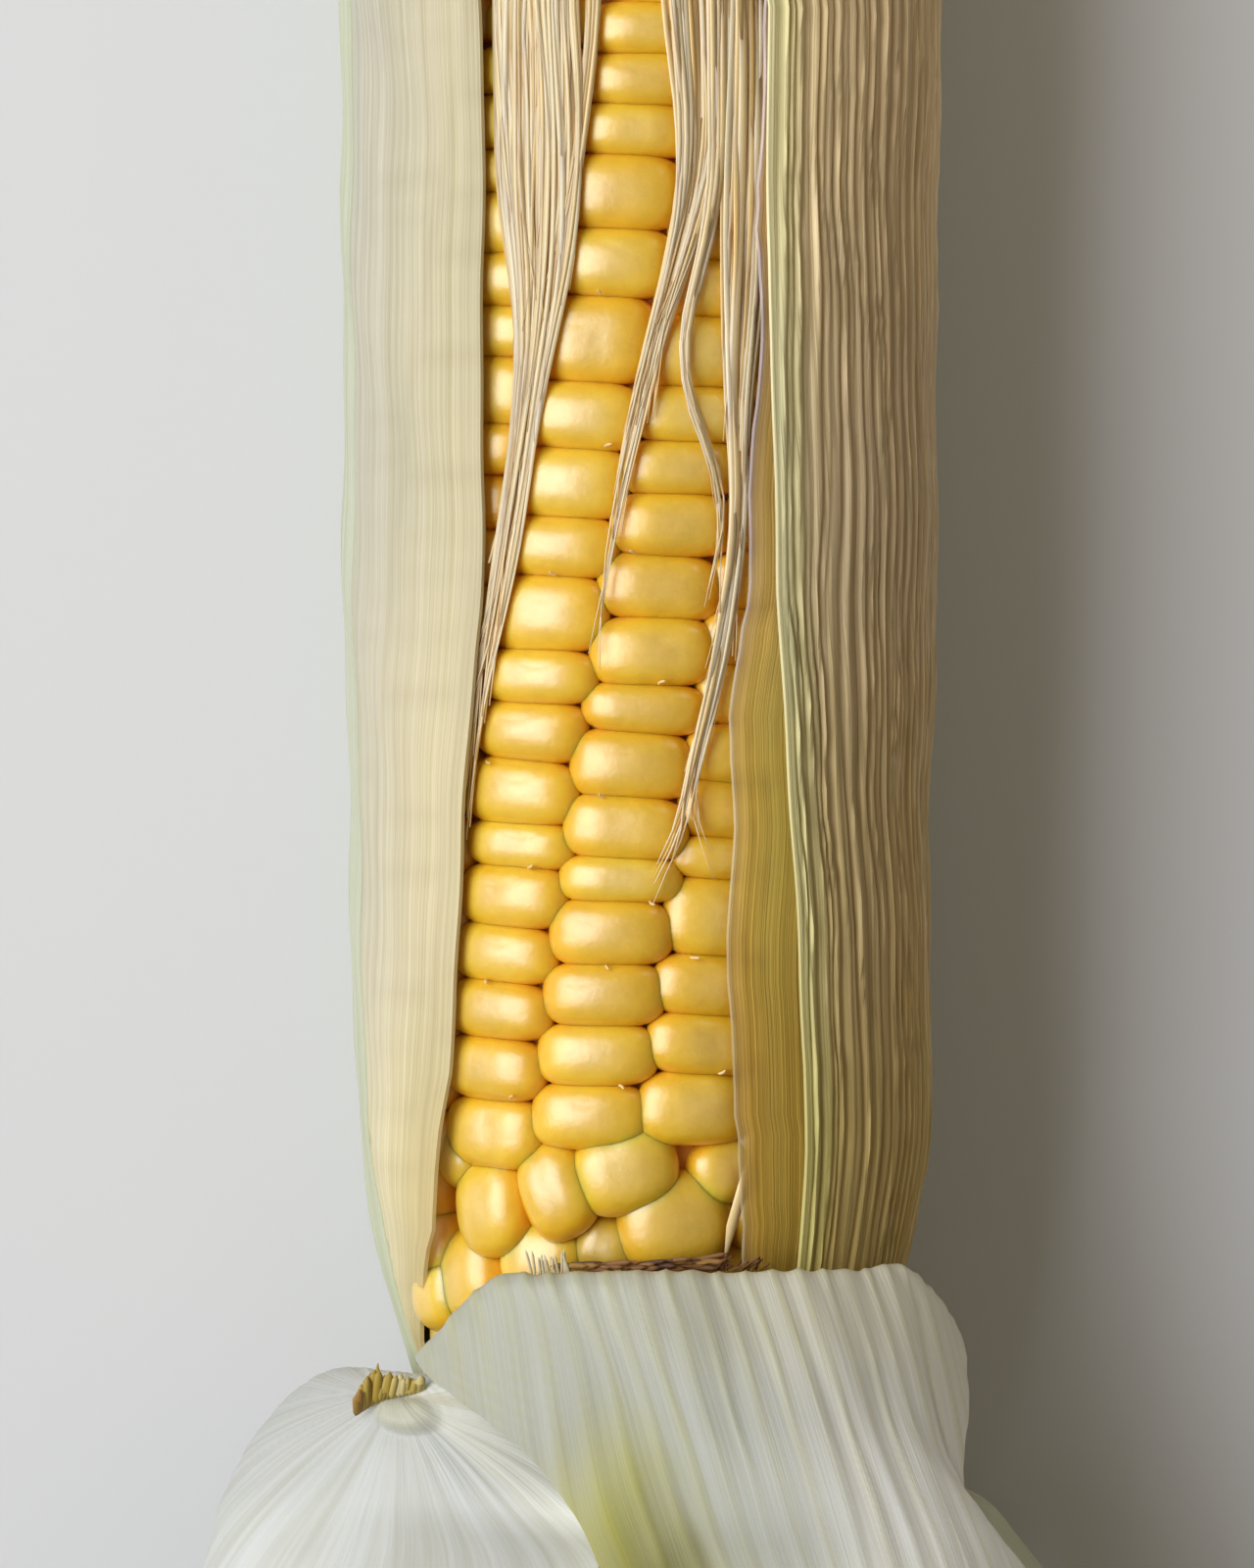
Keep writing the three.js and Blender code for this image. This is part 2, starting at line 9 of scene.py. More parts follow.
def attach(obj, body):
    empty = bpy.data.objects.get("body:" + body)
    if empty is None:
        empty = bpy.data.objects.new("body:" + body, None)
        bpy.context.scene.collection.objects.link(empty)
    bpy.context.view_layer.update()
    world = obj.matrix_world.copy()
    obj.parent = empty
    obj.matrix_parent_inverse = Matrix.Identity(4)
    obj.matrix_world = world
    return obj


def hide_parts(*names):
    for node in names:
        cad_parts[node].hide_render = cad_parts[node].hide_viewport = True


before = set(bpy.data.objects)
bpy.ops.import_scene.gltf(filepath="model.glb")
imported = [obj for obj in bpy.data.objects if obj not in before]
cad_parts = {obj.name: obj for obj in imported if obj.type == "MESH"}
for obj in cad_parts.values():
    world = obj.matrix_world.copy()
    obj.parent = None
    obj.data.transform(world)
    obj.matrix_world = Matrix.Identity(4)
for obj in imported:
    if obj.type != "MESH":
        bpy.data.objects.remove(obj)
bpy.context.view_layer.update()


# Cob with its kernels.
# Plump sweet corn kernels sit in fourteen rows that wind a little round the cob, pressed tightly
# against each other. Each is a cube swollen to a pillow, set in place by the rule that the solid
# follows, with the misshapen ones near the butt placed one by one.
AXIS_HEIGHT = 0.0230
REST_AT = 0.090
COB_RADIUS = 21.2
COB_LENGTH = 188.0
ROWS = 14
ROW_STEP = 360.0 / ROWS


def clamp(x, low=0.0, high=1.0):
    return min(high, max(low, x))


def ramp(x, softness):
    return (x + math.sqrt(x * x + softness * softness)) / 2


def hill(x, width):
    return math.exp(-((x / width) ** 2))


def draw(n):
    x = math.sin(n * 12.9898 + 4.1) * 43758.5453
    return x - math.floor(x)


def barrel(s):
    return COB_RADIUS * (1 - 0.055 * ((s - 80) / 60) ** 2)


def butt_round(s):
    return 0.66 + 0.34 * (1 - (1 - clamp(s / 24)) ** 2.6)


def cob_radius(s):
    t = clamp((s - 100) / (COB_LENGTH - 100))
    return barrel(s) * butt_round(s) * (1 - t**2.3) ** 0.62


def row_angle(row, s):
    return -45.2 + 0.42 * s + 0.15 * ramp(s - 55, 6) - 0.4 * ramp(s - 110, 6) + ROW_STEP * (row - 1)


def around(radius, angle, s):
    """Place in metres of a point given in mm round the cob's axis and from its butt."""
    a = math.radians(angle)
    butt = Vector((0, -REST_AT, AXIS_HEIGHT))
    return Vector((radius * math.sin(a), s, radius * math.cos(a))) / 1000 + butt


# Lengths in mm of the kernels in the three rows that face up, from the butt.
SHOWN_ROWS = {
    1: [4.5, 4.6, 4.7, 5.1, 4.6, 4.3, 4.2, 4.4, 3.3, 4.7, 4.4, 3.8, 5.2, 4.4, 5.1, 4.9, 5.8, 5.0, 5.5, 3.8,
        3.8],
    2: [5.2, 5.0, 5.2, 4.7, 4.5, 4.5, 4.8, 3.2, 4.5, 4.9, 3.5, 5.0, 4.7, 4.6, 3.9, 4.0, 5.4],
    3: [4.9, 4.8, 5.0, 5.1, 4.4, 4.4, 5.8, 3.0, 4.2, 3.9],
}


def row_cuts(row, neighbours):
    shown = SHOWN_ROWS.get(row, [])
    cuts = [1.2]
    n = 0
    while cuts[n] < 178:
        length = 4.35 * (1 + 0.26 * (2 * draw(row * 97 + n) - 1)) * (0.85 if n > 36 else 1)
        cut = cuts[n] + (shown[n] if n < len(shown) else length)
        while any(abs(other - cut) < 0.35 for other in neighbours):
            cut += 0.1
        cuts.append(cut)
        n += 1
    cuts[-1] = 181.0
    return cuts


all_cuts = []
for row in range(ROWS):
    before = all_cuts[row - 1] if row else []
    after = all_cuts[0] if row == ROWS - 1 else []
    all_cuts.append(row_cuts(row, before + after))


def pillow(steps, squareness, roundness):
    """A unit pillow: a subdivided cube pushed out to a rounded box, without its hidden underside."""
    bpy.ops.mesh.primitive_cube_add(size=2)
    cube = bpy.context.object
    bpy.ops.object.mode_set(mode="EDIT")
    bpy.ops.mesh.subdivide(number_cuts=steps - 1)
    mesh = bmesh.from_edit_mesh(cube.data)
    hidden = [v for v in mesh.verts if v.co.z < -0.45]
    bmesh.ops.delete(mesh, geom=hidden, context="VERTS")
    for v in mesh.verts:
        x, y, z = (math.sin(c * math.pi / 4) / math.sin(math.pi / 4) for c in v.co)
        flat = (abs(x) ** squareness + abs(y) ** squareness) ** (roundness / squareness)
        v.co = Vector((x, y, z)) / (flat + abs(z) ** roundness) ** (1 / roundness)
    bmesh.update_edit_mesh(cube.data)
    bpy.ops.object.mode_set(mode="OBJECT")
    points = [v.co.copy() for v in cube.data.vertices]
    faces = [tuple(p.vertices) for p in cube.data.polygons]
    bpy.data.objects.remove(cube)
    return points, faces


class Gatherer:
    """Collects copies of small shapes into one mesh, with the two colour layers the shaders read."""

    def __init__(self):
        self.points, self.faces, self.tones, self.marks = [], [], [], []

    def add(self, points, faces, tones, marks):
        first = len(self.points)
        self.points += points
        self.faces += [tuple(first + i for i in face) for face in faces]
        self.tones += tones
        self.marks += marks

    def build(self, name, skin, slot, *nodes):
        mesh = bpy.data.meshes.new(name)
        mesh.from_pydata([tuple(p) for p in self.points], [], self.faces)
        mesh.update()
        for layer, values in (("tone", self.tones), ("mark", self.marks)):
            colours = mesh.attributes.new(layer, "FLOAT_COLOR", "POINT")
            colours.data.foreach_set("color", [c for value in values for c in (*value, 1.0)])
        mesh.polygons.foreach_set("use_smooth", [True] * len(mesh.polygons))
        obj = bpy.data.objects.new(name, mesh)
        bpy.context.collection.objects.link(obj)
        obj.data.materials.append(skin.material)
        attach(obj, "root")
        if nodes:
            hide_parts(*nodes)
        return obj


class Skin:
    """A material made up in small steps, each of which gives the socket that the next one takes."""

    def __init__(self, name):
        self.material = bpy.data.materials.new(name)
        self.material.use_nodes = True
        self.tree = self.material.node_tree
        self.shader = self.tree.nodes["Principled BSDF"]

    def step(self, kind, feeds, **settings):
        made = self.tree.nodes.new(kind)
        for key, value in settings.items():
            if key in made.inputs:
                made.inputs[key].default_value = value
            else:
                setattr(made, key, value)
        for key, value in feeds.items():
            if isinstance(value, (int, float, tuple)):
                made.inputs[key].default_value = value
            else:
                self.tree.links.new(value, made.inputs[key])
        return made

    def layer(self, name):
        """The three values that a colour layer of the mesh holds."""
        colour = self.step("ShaderNodeAttribute", {}, attribute_name=name).outputs["Color"]
        parts = self.step("ShaderNodeSeparateColor", {"Color": colour})
        return [parts.outputs[channel] for channel in ("Red", "Green", "Blue")]

    def coloured(self, value, stops, interpolation="LINEAR"):
        made = self.step("ShaderNodeValToRGB", {"Fac": value})
        made.color_ramp.interpolation = interpolation
        while len(made.color_ramp.elements) < len(stops):
            made.color_ramp.elements.new(0.5)
        for element, (place, colour) in zip(made.color_ramp.elements, stops):
            element.position = place
            element.color = (*colour, 1.0)
        return made.outputs["Color"]

    def tinted(self, colour, tint, share=1.0):
        feeds = {"Factor": share, "A": colour, "B": tint}
        made = self.step("ShaderNodeMix", feeds, data_type="RGBA", blend_type="MULTIPLY")
        return made.outputs["Result"]

    def stained(self, colour, stain_and_shade, share):
        feeds = {"Factor": share, "A": colour, "B": (*stain_and_shade, 1.0)}
        return self.step("ShaderNodeMix", feeds, data_type="RGBA").outputs["Result"]

    def grain(self, scale, detail, roughness=0.5, stretch=None, place=None):
        """Noise that stays on the piece, by its own place or by the one given."""
        if place is None:
            place = self.step("ShaderNodeTexCoord", {}).outputs["Object"]
        if stretch:
            place = self.step("ShaderNodeMapping", {"Vector": place}, Scale=stretch).outputs["Vector"]
        made = self.step("ShaderNodeTexNoise", {"Vector": place}, Scale=scale, Detail=detail,
                         Roughness=roughness)
        return made.outputs["Fac"]

    def reckon(self, operation, *values):
        made = self.step("ShaderNodeMath", dict(enumerate(values)), operation=operation)
        return made.outputs["Value"]

    def raised(self, height, strength, distance, before=None, invert=False):
        feeds = {"Height": height, "Normal": before} if before else {"Height": height}
        made = self.step("ShaderNodeBump", feeds, Strength=strength, Distance=distance, invert=invert)
        return made.outputs["Normal"]

    def finish(self, colour, values, relief=None):
        self.tree.links.new(colour, self.shader.inputs["Base Color"])
        if relief:
            self.tree.links.new(relief, self.shader.inputs["Normal"])
        for name, value in values.items():
            self.shader.inputs[name].default_value = value


WHITE = (1.0, 1.0, 1.0)

# The flesh of a kernel is waxy and lets light in: pale yellow over the crown, deeper orange towards
# the seams. This is partly its own colour and partly a painted highlight on the crown, with painted
# shade down towards the seams. tone holds depth below the crown, a random number and how dented the
# crown is; mark holds how dull the kernel is and the place on its crown.
kernel_skin = Skin("kernel_skin")
depth, random_share, dented = kernel_skin.layer("tone")
dull, aside, upward = kernel_skin.layer("mark")
flesh_and_shading = kernel_skin.coloured(depth, [
    (0.0, (0.85, 0.58, 0.125)), (0.1, (0.88, 0.575, 0.060)), (0.24, (0.92, 0.55, 0.022)),
    (0.38, (0.93, 0.49, 0.014)), (1.0, (0.78, 0.30, 0.010)),
])
variety = kernel_skin.coloured(random_share, [
    (0.0, (0.93, 0.91, 0.8)), (0.5, WHITE), (1.0, (1.0, 1.05, 1.3)),
])
mottle = kernel_skin.coloured(kernel_skin.grain(420.0, 3.0, 0.6), [
    (0.35, (0.94, 0.93, 0.86)), (0.65, (1.04, 1.04, 1.1)),
])
flesh_and_shading = kernel_skin.tinted(kernel_skin.tinted(flesh_and_shading, variety), mottle)
flesh_and_shading = kernel_skin.stained(flesh_and_shading, (0.60, 0.40, 0.03), dull)

# The dent that many crowns have towards the tip is a short line curved like a smile.
reckon = kernel_skin.reckon
dent_from_middle = reckon("MULTIPLY", reckon("SUBTRACT", random_share, 0.5), 0.34)
away = reckon("SUBTRACT", reckon("SUBTRACT", aside, 0.5), dent_from_middle)
away_squared = reckon("MULTIPLY", away, away)
above = reckon("SUBTRACT", reckon("SUBTRACT", upward, 0.66), reckon("MULTIPLY", away_squared, 3.0))
across_line = reckon("MULTIPLY", reckon("MULTIPLY", above, above), -150.0)
spread = reckon("ADD", across_line, reckon("MULTIPLY", away_squared, -60.0))
dent_depth = reckon("MULTIPLY", reckon("EXPONENT", spread), dented)
relief = kernel_skin.raised(dent_depth, 0.32, 0.0005, invert=True)
relief = kernel_skin.raised(kernel_skin.grain(1900.0, 3.0), 0.16, 0.0003, relief)
relief = kernel_skin.raised(kernel_skin.grain(300.0, 2.0), 0.22, 0.0008, relief)
kernel_skin.finish(flesh_and_shading, {
    "Roughness": 0.34, "Specular IOR Level": 0.5,
    "Subsurface Weight": 0.75, "Subsurface Radius": (1.0, 0.7, 0.3), "Subsurface Scale": 0.0013,
    "Coat Weight": 1.0, "Coat IOR": 1.58, "Coat Roughness": 0.34,
}, relief)


def kernel(gather, shape, s, angle, along, across, height=2.9, turn=0.0, seed=0, olive=0.0, lift=0.0,
           crease=0.0):
    """Sets one pillow on the cob: along and across are its half sizes in mm, turn in degrees."""
    points, faces = shape
    radius = cob_radius(s)
    cosine, sine = math.cos(math.radians(turn)), math.sin(math.radians(turn))
    skew = 0.10 * (draw(seed + 7.3) - 0.5)
    swell = 0.06 * (draw(seed + 2.9) - 0.5)
    tilt = 0.10 * (draw(seed + 5.1) - 0.5)
    dent_at = 0.5 * (draw(seed + 9.7) - 0.5)
    placed, tones, marks = [], [], []
    for p in points:
        widen = 1 + swell + skew * p.x
        x = p.x * across * (1 + skew * p.y)
        y = p.y * along * widen
        dent = crease * hill(p.x - dent_at, 0.16) * max(0.0, p.z) ** 2
        dent += 0.5 * crease * math.exp(-(p.x * p.x + p.y * p.y) / 0.30) * max(0.0, p.z)
        up = (p.z - 1) * height + min(0.0, p.z) * 1.5 + lift
        up = up + tilt * p.x * max(0, p.z) * height - dent * 0.35
        x, y = x * cosine - y * sine, x * sine + y * cosine
        r = max(0.3, radius + up)
        squeeze = r / radius
        a = angle + math.degrees(x * squeeze / r) if abs(x) < r * 1.4 else angle
        placed.append(around(r, a, s + y))
        tones.append((clamp((1 - p.z) * 0.75), draw(seed + 0.37), clamp(1.5 * draw(seed + 8.8) - 0.3)))
        marks.append((olive, (p.x + 1) / 2, (p.y + 1) / 2))
    gather.add(placed, faces, tones, marks)


# The kernels near the butt that keep to no row: place across and along in mm, half sizes, turn,
# how dull they are and how far they stand out.
BUTT_KERNELS = [
    (-12.2, 11.8, 3.9, 3.7, 8, 0.0, 0.7),
    (-6.7, 13.3, 4.0, 3.2, 24, 0.0, 0.6),
    (-1.0, 14.9, 3.5, 4.6, 17, 0.0, 0.3),
    (3.3, 11.0, 3.9, 5.0, 8, 0.30, 0.4),
    (7.2, 14.8, 2.8, 3.2, 20, 0.0, -0.3),
    (10.5, 11.5, 3.2, 3.4, 0, 0.0, -0.5),
    (-14.2, 6.4, 3.9, 3.7, 14, 0.0, 1.7),
    (-8.0, 7.9, 3.2, 4.0, -8, 0.0, 0.7),
    (-2.5, 8.8, 2.7, 3.2, -14, 0.8, -0.2),
    (-16.8, 5.2, 3.4, 3.0, 0, 0.0, 2.9),
    (-16.4, -1.6, 3.2, 3.0, 0, 0.0, 4.4),
    (-15.2, -5.2, 3.0, 3.2, 0, 0.0, 4.4),
    (-14.6, 15.8, 3.0, 2.5, 0, 0.0, -0.3),
    (-15.3, 2.0, 3.4, 3.8, 0, 0.0, 3.2),
    (-14.4, -2.0, 2.8, 3.6, 0, 0.0, 3.6),
    (-17.2, 8.8, 3.4, 3.2, 0, 0.0, 1.5),
    (-17.4, 13.6, 3.2, 3.0, 0, 0.0, 0.6),
    (-9.6, 3.0, 2.8, 4.0, 0, 0.1, 1.6),
    (8.6, 6.6, 3.0, 3.6, 0, 0.3, -0.5),
    (2.0, 5.4, 2.6, 3.4, 0, 0.4, -0.9),
]
near = pillow(10, 3.1, 2.1)
far = pillow(5, 3.1, 2.1)
plump = pillow(10, 2.6, 2.15)
front_kernels, other_kernels = Gatherer(), Gatherer()
for row, cuts in enumerate(all_cuts):
    for n, (low, high) in enumerate(zip(cuts, cuts[1:])):
        s = (low + high) / 2
        angle = row_angle(row, s)
        turned = (angle + 180) % 360 - 180
        if s < 15.4 and -78 < turned < 40:
            continue
        shown = -62 < turned < 48 and s < 118
        seed = row * 131 + n * 3.7
        half = math.radians(ROW_STEP / 2) * cob_radius(s) * 1.13
        kernel(
            front_kernels if shown else other_kernels,
            near if shown else far,
            s,
            angle + 1.2 * (draw(seed + 1.1) - 0.5),
            (high - low) / 2 + 0.26,
            half,
            height=min(1.9, 0.12 * cob_radius(s)),
            turn=5 * (draw(seed + 3.3) - 0.5) - 2.0,
            seed=seed,
            lift=0.35 * (draw(seed + 4.4) - 0.5),
            crease=(0.9 * draw(seed + 6.1)) ** 2,
        )
for n, (x, s, along, across, turn, dull, lift) in enumerate(BUTT_KERNELS):
    angle = math.degrees(math.asin(clamp(x / (cob_radius(s) + lift), -0.96, 0.96)))
    kernel(front_kernels, plump, s, angle, along, across, height=2.5, turn=turn, seed=3000 + n * 5,
           olive=dull, lift=lift, crease=0.5)
front_kernels.build("kernels_front", kernel_skin, "kernel", "cob_with_kernels")
other_kernels.build("kernels_other", kernel_skin, "kernel", "cob_with_kernels")


# The cob under the kernels.
# Where kernels part, the cob's deep orange seams show between them. It is the same growth as the
# kernels: a spindle turned from a cylinder, closed at the butt and at the tip.
cob_bed = Skin("cob_bed")
cob_bed.finish(
    cob_bed.coloured(cob_bed.grain(300.0, 3.0), [(0.3, (0.56, 0.20, 0.015)), (0.7, (0.72, 0.32, 0.03))]),
    {"Roughness": 0.7},
)


def mix(a, b, t):
    return a + (b - a) * t


def turned_spindle(name, sides, rings, start, end, radius_at):
    """A closed cylinder along the cob's axis, from start to end in mm, with radius_at(angle, s)."""
    bpy.ops.mesh.primitive_cylinder_add(vertices=sides, radius=1, depth=1, end_fill_type="TRIFAN")
    obj = bpy.context.object
    obj.name = name
    bpy.ops.object.mode_set(mode="EDIT")
    mesh = bmesh.from_edit_mesh(obj.data)
    lengthwise = [e for e in mesh.edges if abs(e.verts[0].co.z - e.verts[1].co.z) > 0.5]
    bmesh.ops.subdivide_edges(mesh, edges=lengthwise, cuts=rings)
    for v in mesh.verts:
        s = mix(start, end, v.co.z + 0.5)
        share = math.hypot(v.co.x, v.co.y)
        angle = math.degrees(math.atan2(v.co.x, v.co.y))
        v.co = around(share * radius_at(angle, s), angle, s)
    bmesh.ops.recalc_face_normals(mesh, faces=mesh.faces)
    bmesh.update_edit_mesh(obj.data)
    bpy.ops.object.mode_set(mode="OBJECT")
    return obj


bed = turned_spindle("cob_bed", 48, 40, 0.4, COB_LENGTH - 1.2,
                     lambda angle, s: max(0.2, cob_radius(s) - 2.6))
bpy.ops.object.shade_smooth()
bed.data.materials.append(cob_bed.material)
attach(bed, "root")
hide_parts("cob_with_kernels")


# Leaves still wrapped round the ear.
# Husk leaves are thin parallel-veined blades. Each is a grid bent round the ear by the solid's rule,
# raised into its veins or pleats, thickened, and coloured by its own veins.
HUSK_END = 238.0
LEAF_LAYERS = (0.5, 1.55, 2.7)


def ease(start, end, x):
    t = clamp((x - start) / (end - start))
    return t * t * (3 - 2 * t)


def line_through(rows, x):
    if x <= rows[0][0]:
        return rows[0][1]
    for (x0, y0), (x1, y1) in zip(rows, rows[1:]):
        if x <= x1:
            return mix(y0, y1, (x - x0) / (x1 - x0))
    return rows[-1][1]


def waver(x, y, z):
    return noise.noise(Vector((x, y, z)))


def husk(s):
    t = clamp((s - 100) / (HUSK_END - 100))
    if s > 20:
        return barrel(s) * butt_round(s) * (1 - t * t) ** 0.9
    return mix(10.6, barrel(20) * butt_round(20), ease(-23, 18, s))


def from_ear(x, s, up):
    return Vector((x, s - REST_AT * 1000, up + AXIS_HEIGHT * 1000)) / 1000


def leaf(name, material, surface, across, along, relief=None, thickness=0.34, floor=False,
         marks=None, veins=None):
    """A thin blade on a grid. surface(u, v) is its middle in metres, u from -1 to 1 and v from 0 to 1,
    and relief(u, v) raises its outer side in mm. Its UV map holds v and either u or veins(u, v), which
    stays the same along a vein, and marks(u, v) gives how green, how brown and how clear it is, the green
    and brown being partly its own stains and partly painted shade."""
    bpy.ops.mesh.primitive_grid_add(x_subdivisions=across, y_subdivisions=along, size=2)
    obj = bpy.context.object
    obj.name = name
    bpy.ops.object.mode_set(mode="EDIT")
    mesh = bmesh.from_edit_mesh(obj.data)
    step = 2e-3
    moved = {}
    for vert in mesh.verts:
        u, v = clamp(vert.co.x, -1, 1), clamp((vert.co.y + 1) / 2)
        low, high = max(0.0, v - step), min(1.0, v + step)
        outward = (surface(u + step, v) - surface(u - step, v)).cross(surface(u, high) - surface(u, low))
        outward.normalize()
        place = surface(u, v) + outward * ((relief(u, v) if relief else 0.0) / 1000)
        if floor:
            place.z = max(place.z, thickness / 2000)
        moved[vert.index] = (u, v, place)
    colours = mesh.verts.layers.float_color.new("mark")
    for vert in mesh.verts:
        u, v, _ = moved[vert.index]
        vert[colours] = (*(marks(u, v) if marks else (0.0, 0.0, 0.0)), 1.0)
    layer = mesh.loops.layers.uv.verify()
    for face in mesh.faces:
        for loop in face.loops:
            u, v, _ = moved[loop.vert.index]
            loop[layer].uv = (veins(u, v) if veins else (u + 1) / 2, v)
    for vert in mesh.verts:
        vert.co = moved[vert.index][2]
    bmesh.update_edit_mesh(obj.data)
    bpy.ops.object.mode_set(mode="OBJECT")
    solid = obj.modifiers.new("thickness", "SOLIDIFY")
    solid.thickness = thickness / 1000
    solid.offset = 0
    bpy.ops.object.modifier_apply(modifier="thickness")
    bpy.ops.object.shade_smooth_by_angle(angle=math.radians(70))
    obj.data.materials.append(material)
    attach(obj, "root")
    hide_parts(name)


def wrapped(layer, start, end, point_from, open_edge, far_edge, stand_off=None, side=1, wave=None):
    def surface(u, v):
        s = mix(start, end, v)
        a, b = open_edge(s), far_edge
        share = clamp((s - point_from) / (end - point_from)) * 0.985
        angle = (a + b) / 2 + (b - a) / 2 * u * side * math.sqrt(1 - share * share)
        gap = LEAF_LAYERS[layer] + 0.3 + ease(92, 114, s)
        if stand_off:
            gap += stand_off(u * side, s)
        if wave:
            gap += wave(angle, s)
        return around(husk(s) + gap, angle, s)

    return surface


def leaf_skin(name, across, lines, line_strength, bump_strength, roughness, stops_along, clear=False,
              coarse=0.0, blotched=1.0):
    """A veined leaf. across colours the blade from u = -1 to 1, stops_along tints it along v, lines are
    fine veins that run along it, and coarse adds broad irregular stripes."""
    skin = Skin(name)
    uv = skin.step("ShaderNodeUVMap", {}).outputs["UV"]
    split = skin.step("ShaderNodeSeparateXYZ", {"Vector": uv})
    blade = skin.coloured(split.outputs["X"], across, "EASE")
    blade = skin.tinted(blade, skin.coloured(split.outputs["Y"], stops_along, "EASE"))
    shade = 1 - line_strength
    veins = skin.grain(1.0, 3.0, 0.65, (lines, 3.0, 1), uv)
    bands = [
        (veins, 0.38, 0.62, (shade, shade * 0.985, shade * 0.93), (1.05, 1.05, 1.05), 1.0),
        (skin.grain(1.0, 2.0, 0.5, (lines * 0.22, 1.6, 1), uv), 0.35, 0.65, (0.93, 0.93, 0.86),
         (1.04, 1.04, 1.03), blotched),
        (skin.grain(1.0, 3.0, 0.5, (4.0, 14.0, 1), uv), 0.3, 0.7, (0.94, 0.95, 0.92), (1.03, 1.02, 1.0),
         blotched),
    ]
    if coarse:
        bands.append((skin.grain(1.0, 4.0, 0.75, (lines * 0.45, 2.2, 1), uv), 0.36, 0.6,
                      (1 - coarse, 1 - coarse * 1.12, 1 - coarse * 1.25), (1.12, 1.10, 1.04), 1.0))
    for pattern, low, high, dark, light, share in bands:
        blade = skin.tinted(blade, skin.coloured(pattern, [(low, dark), (high, light)]), share)
    # The green and brown marks are partly the leaf's own stains and partly painted shade: the olive valley
    # and rib lines of the front leaf, the kernel seams under thin leaves and the pleat valleys.
    green_and_shade_share, brown_and_shade_share, clear_share = skin.layer("mark")
    blade = skin.stained(blade, (0.46, 0.44, 0.10), green_and_shade_share)
    blade = skin.stained(blade, (0.20, 0.10, 0.035), brown_and_shade_share)
    skin.finish(blade, {
        "Roughness": roughness, "Specular IOR Level": 0.4,
        "Subsurface Weight": 0.12, "Subsurface Radius": (1.0, 0.8, 0.4), "Subsurface Scale": 0.0015,
    }, skin.raised(veins, bump_strength, 0.0004))
    if clear:
        seen = skin.reckon("SUBTRACT", 1.0, clear_share)
        skin.tree.links.new(seen, skin.shader.inputs["Alpha"])
    return skin.material


def seam(angle, s):
    """How near a place on the cob is to a seam between kernels, from 0 to 1."""
    places = (angle - row_angle(0, s)) / ROW_STEP
    row = round(places)
    between = abs(abs(places - row) - 0.5) * ROW_STEP * 0.37
    along = min(abs(s - cut) for cut in all_cuts[row % ROWS])
    return max(hill(between, 0.7), hill(along, 0.55))


# Edges of the window over the kernels: distance from the butt in mm and angle round the cob.
LEFT_EDGE = [(-20, -78), (0.7, -72), (10, -51), (16, -46), (22, -42), (29, -40.4), (36, -38.5),
             (44, -36.3), (57, -32.4), (64, -31.7), (112, -31.7), (150, -6), (205, 0)]
RIGHT_INNER_EDGE = [(-20, 25), (11, 24), (22, 19.5), (47, 19), (58, 21.7), (73, 24.3), (112, 25.8),
                    (150, 8), (196, 10)]
RIGHT_OUTER_EDGE = [(-20, 36), (8, 34.5), (22, 33.5), (36, 31.5), (58, 27.6), (80, 25.2), (102, 25.2),
                    (150, 2), (214, 0)]
LEFT_FAR_EDGE = -136
RIGHT_INNER_FAR_EDGE = 98
RIGHT_OUTER_FAR_EDGE = 128

# The left leaf, cream and finely veined, so thin near its lower edge that kernels show through.
# Towards the butt the blade is painted lighter. This is painted light, for where it slopes from the light
# and for the light that comes through it.
cream = leaf_skin(
    "husk_cream",
    [(0.0, (0.50, 0.50, 0.40)), (0.48, (0.55, 0.545, 0.475)), (0.66, (0.575, 0.54, 0.44)),
     (1.0, (0.63, 0.56, 0.37))],
    170, 0.17, 0.30, 0.5,
    [(0.0, (1.42, 1.33, 1.06)), (0.13, (1.40, 1.31, 1.08)), (0.24, (1.16, 1.12, 1.08)),
     (0.4, (1.0, 0.99, 0.99)), (0.55, (0.96, 0.955, 0.98)), (1.0, (0.88, 0.92, 0.7))],
    clear=True,
)


def left_wave(angle, s):
    return 0.16 * math.sin(s * 0.21 + 0.05 * angle) + 0.09 * math.sin(s * 0.47 + 0.16 * angle)


def left_clear(u, v):
    """The window edge is thin, more so near the butt, and painted shade marks the seams of the kernels
    beneath it.
    """
    s = mix(-20, 205, v)
    thin = ease(1.0 - mix(0.55, 0.16, ease(4, 60, s)), 1.0, u)
    shown = ease(-6, 2, s) * (1 - ease(105, 120, s))
    angle = mix(line_through(LEFT_EDGE, s), LEFT_FAR_EDGE, (1 - u) / 2)
    shade = 0.09 * seam(angle, s) * shown * ease(-0.2, 0.8, u)
    return (0.0, shade, thin * mix(0.36, 0.08, ease(8, 45, s)) * shown)


leaf(
    "husk_left_inner", cream,
    wrapped(0, -20, 205, 150, lambda s: line_through(LEFT_EDGE, s), LEFT_FAR_EDGE, side=-1,
            wave=left_wave),
    96, 150,
    relief=lambda u, v: 0.035 * math.sin(u * 95) + 0.03 * math.sin(u * 41 + 5 * v),
    marks=left_clear,
)

# The thin tan leaf at the right edge of the window, which kernels show through.
tan_thin = leaf_skin(
    "husk_thin",
    [(0.0, (0.97, 0.82, 0.50)), (0.012, (0.95, 0.64, 0.17)), (0.05, (0.93, 0.60, 0.10)),
     (0.12, (0.88, 0.62, 0.12)), (1.0, (0.66, 0.58, 0.32))],
    190, 0.32, 0.4, 0.45,
    [(0.0, (0.92, 0.90, 0.9)), (0.19, (0.97, 0.94, 0.97)), (0.28, (1.08, 1.14, 1.3)),
     (0.39, (1.08, 1.14, 2.1)), (1.0, (1.04, 1.08, 2.0))],
    clear=True,
)


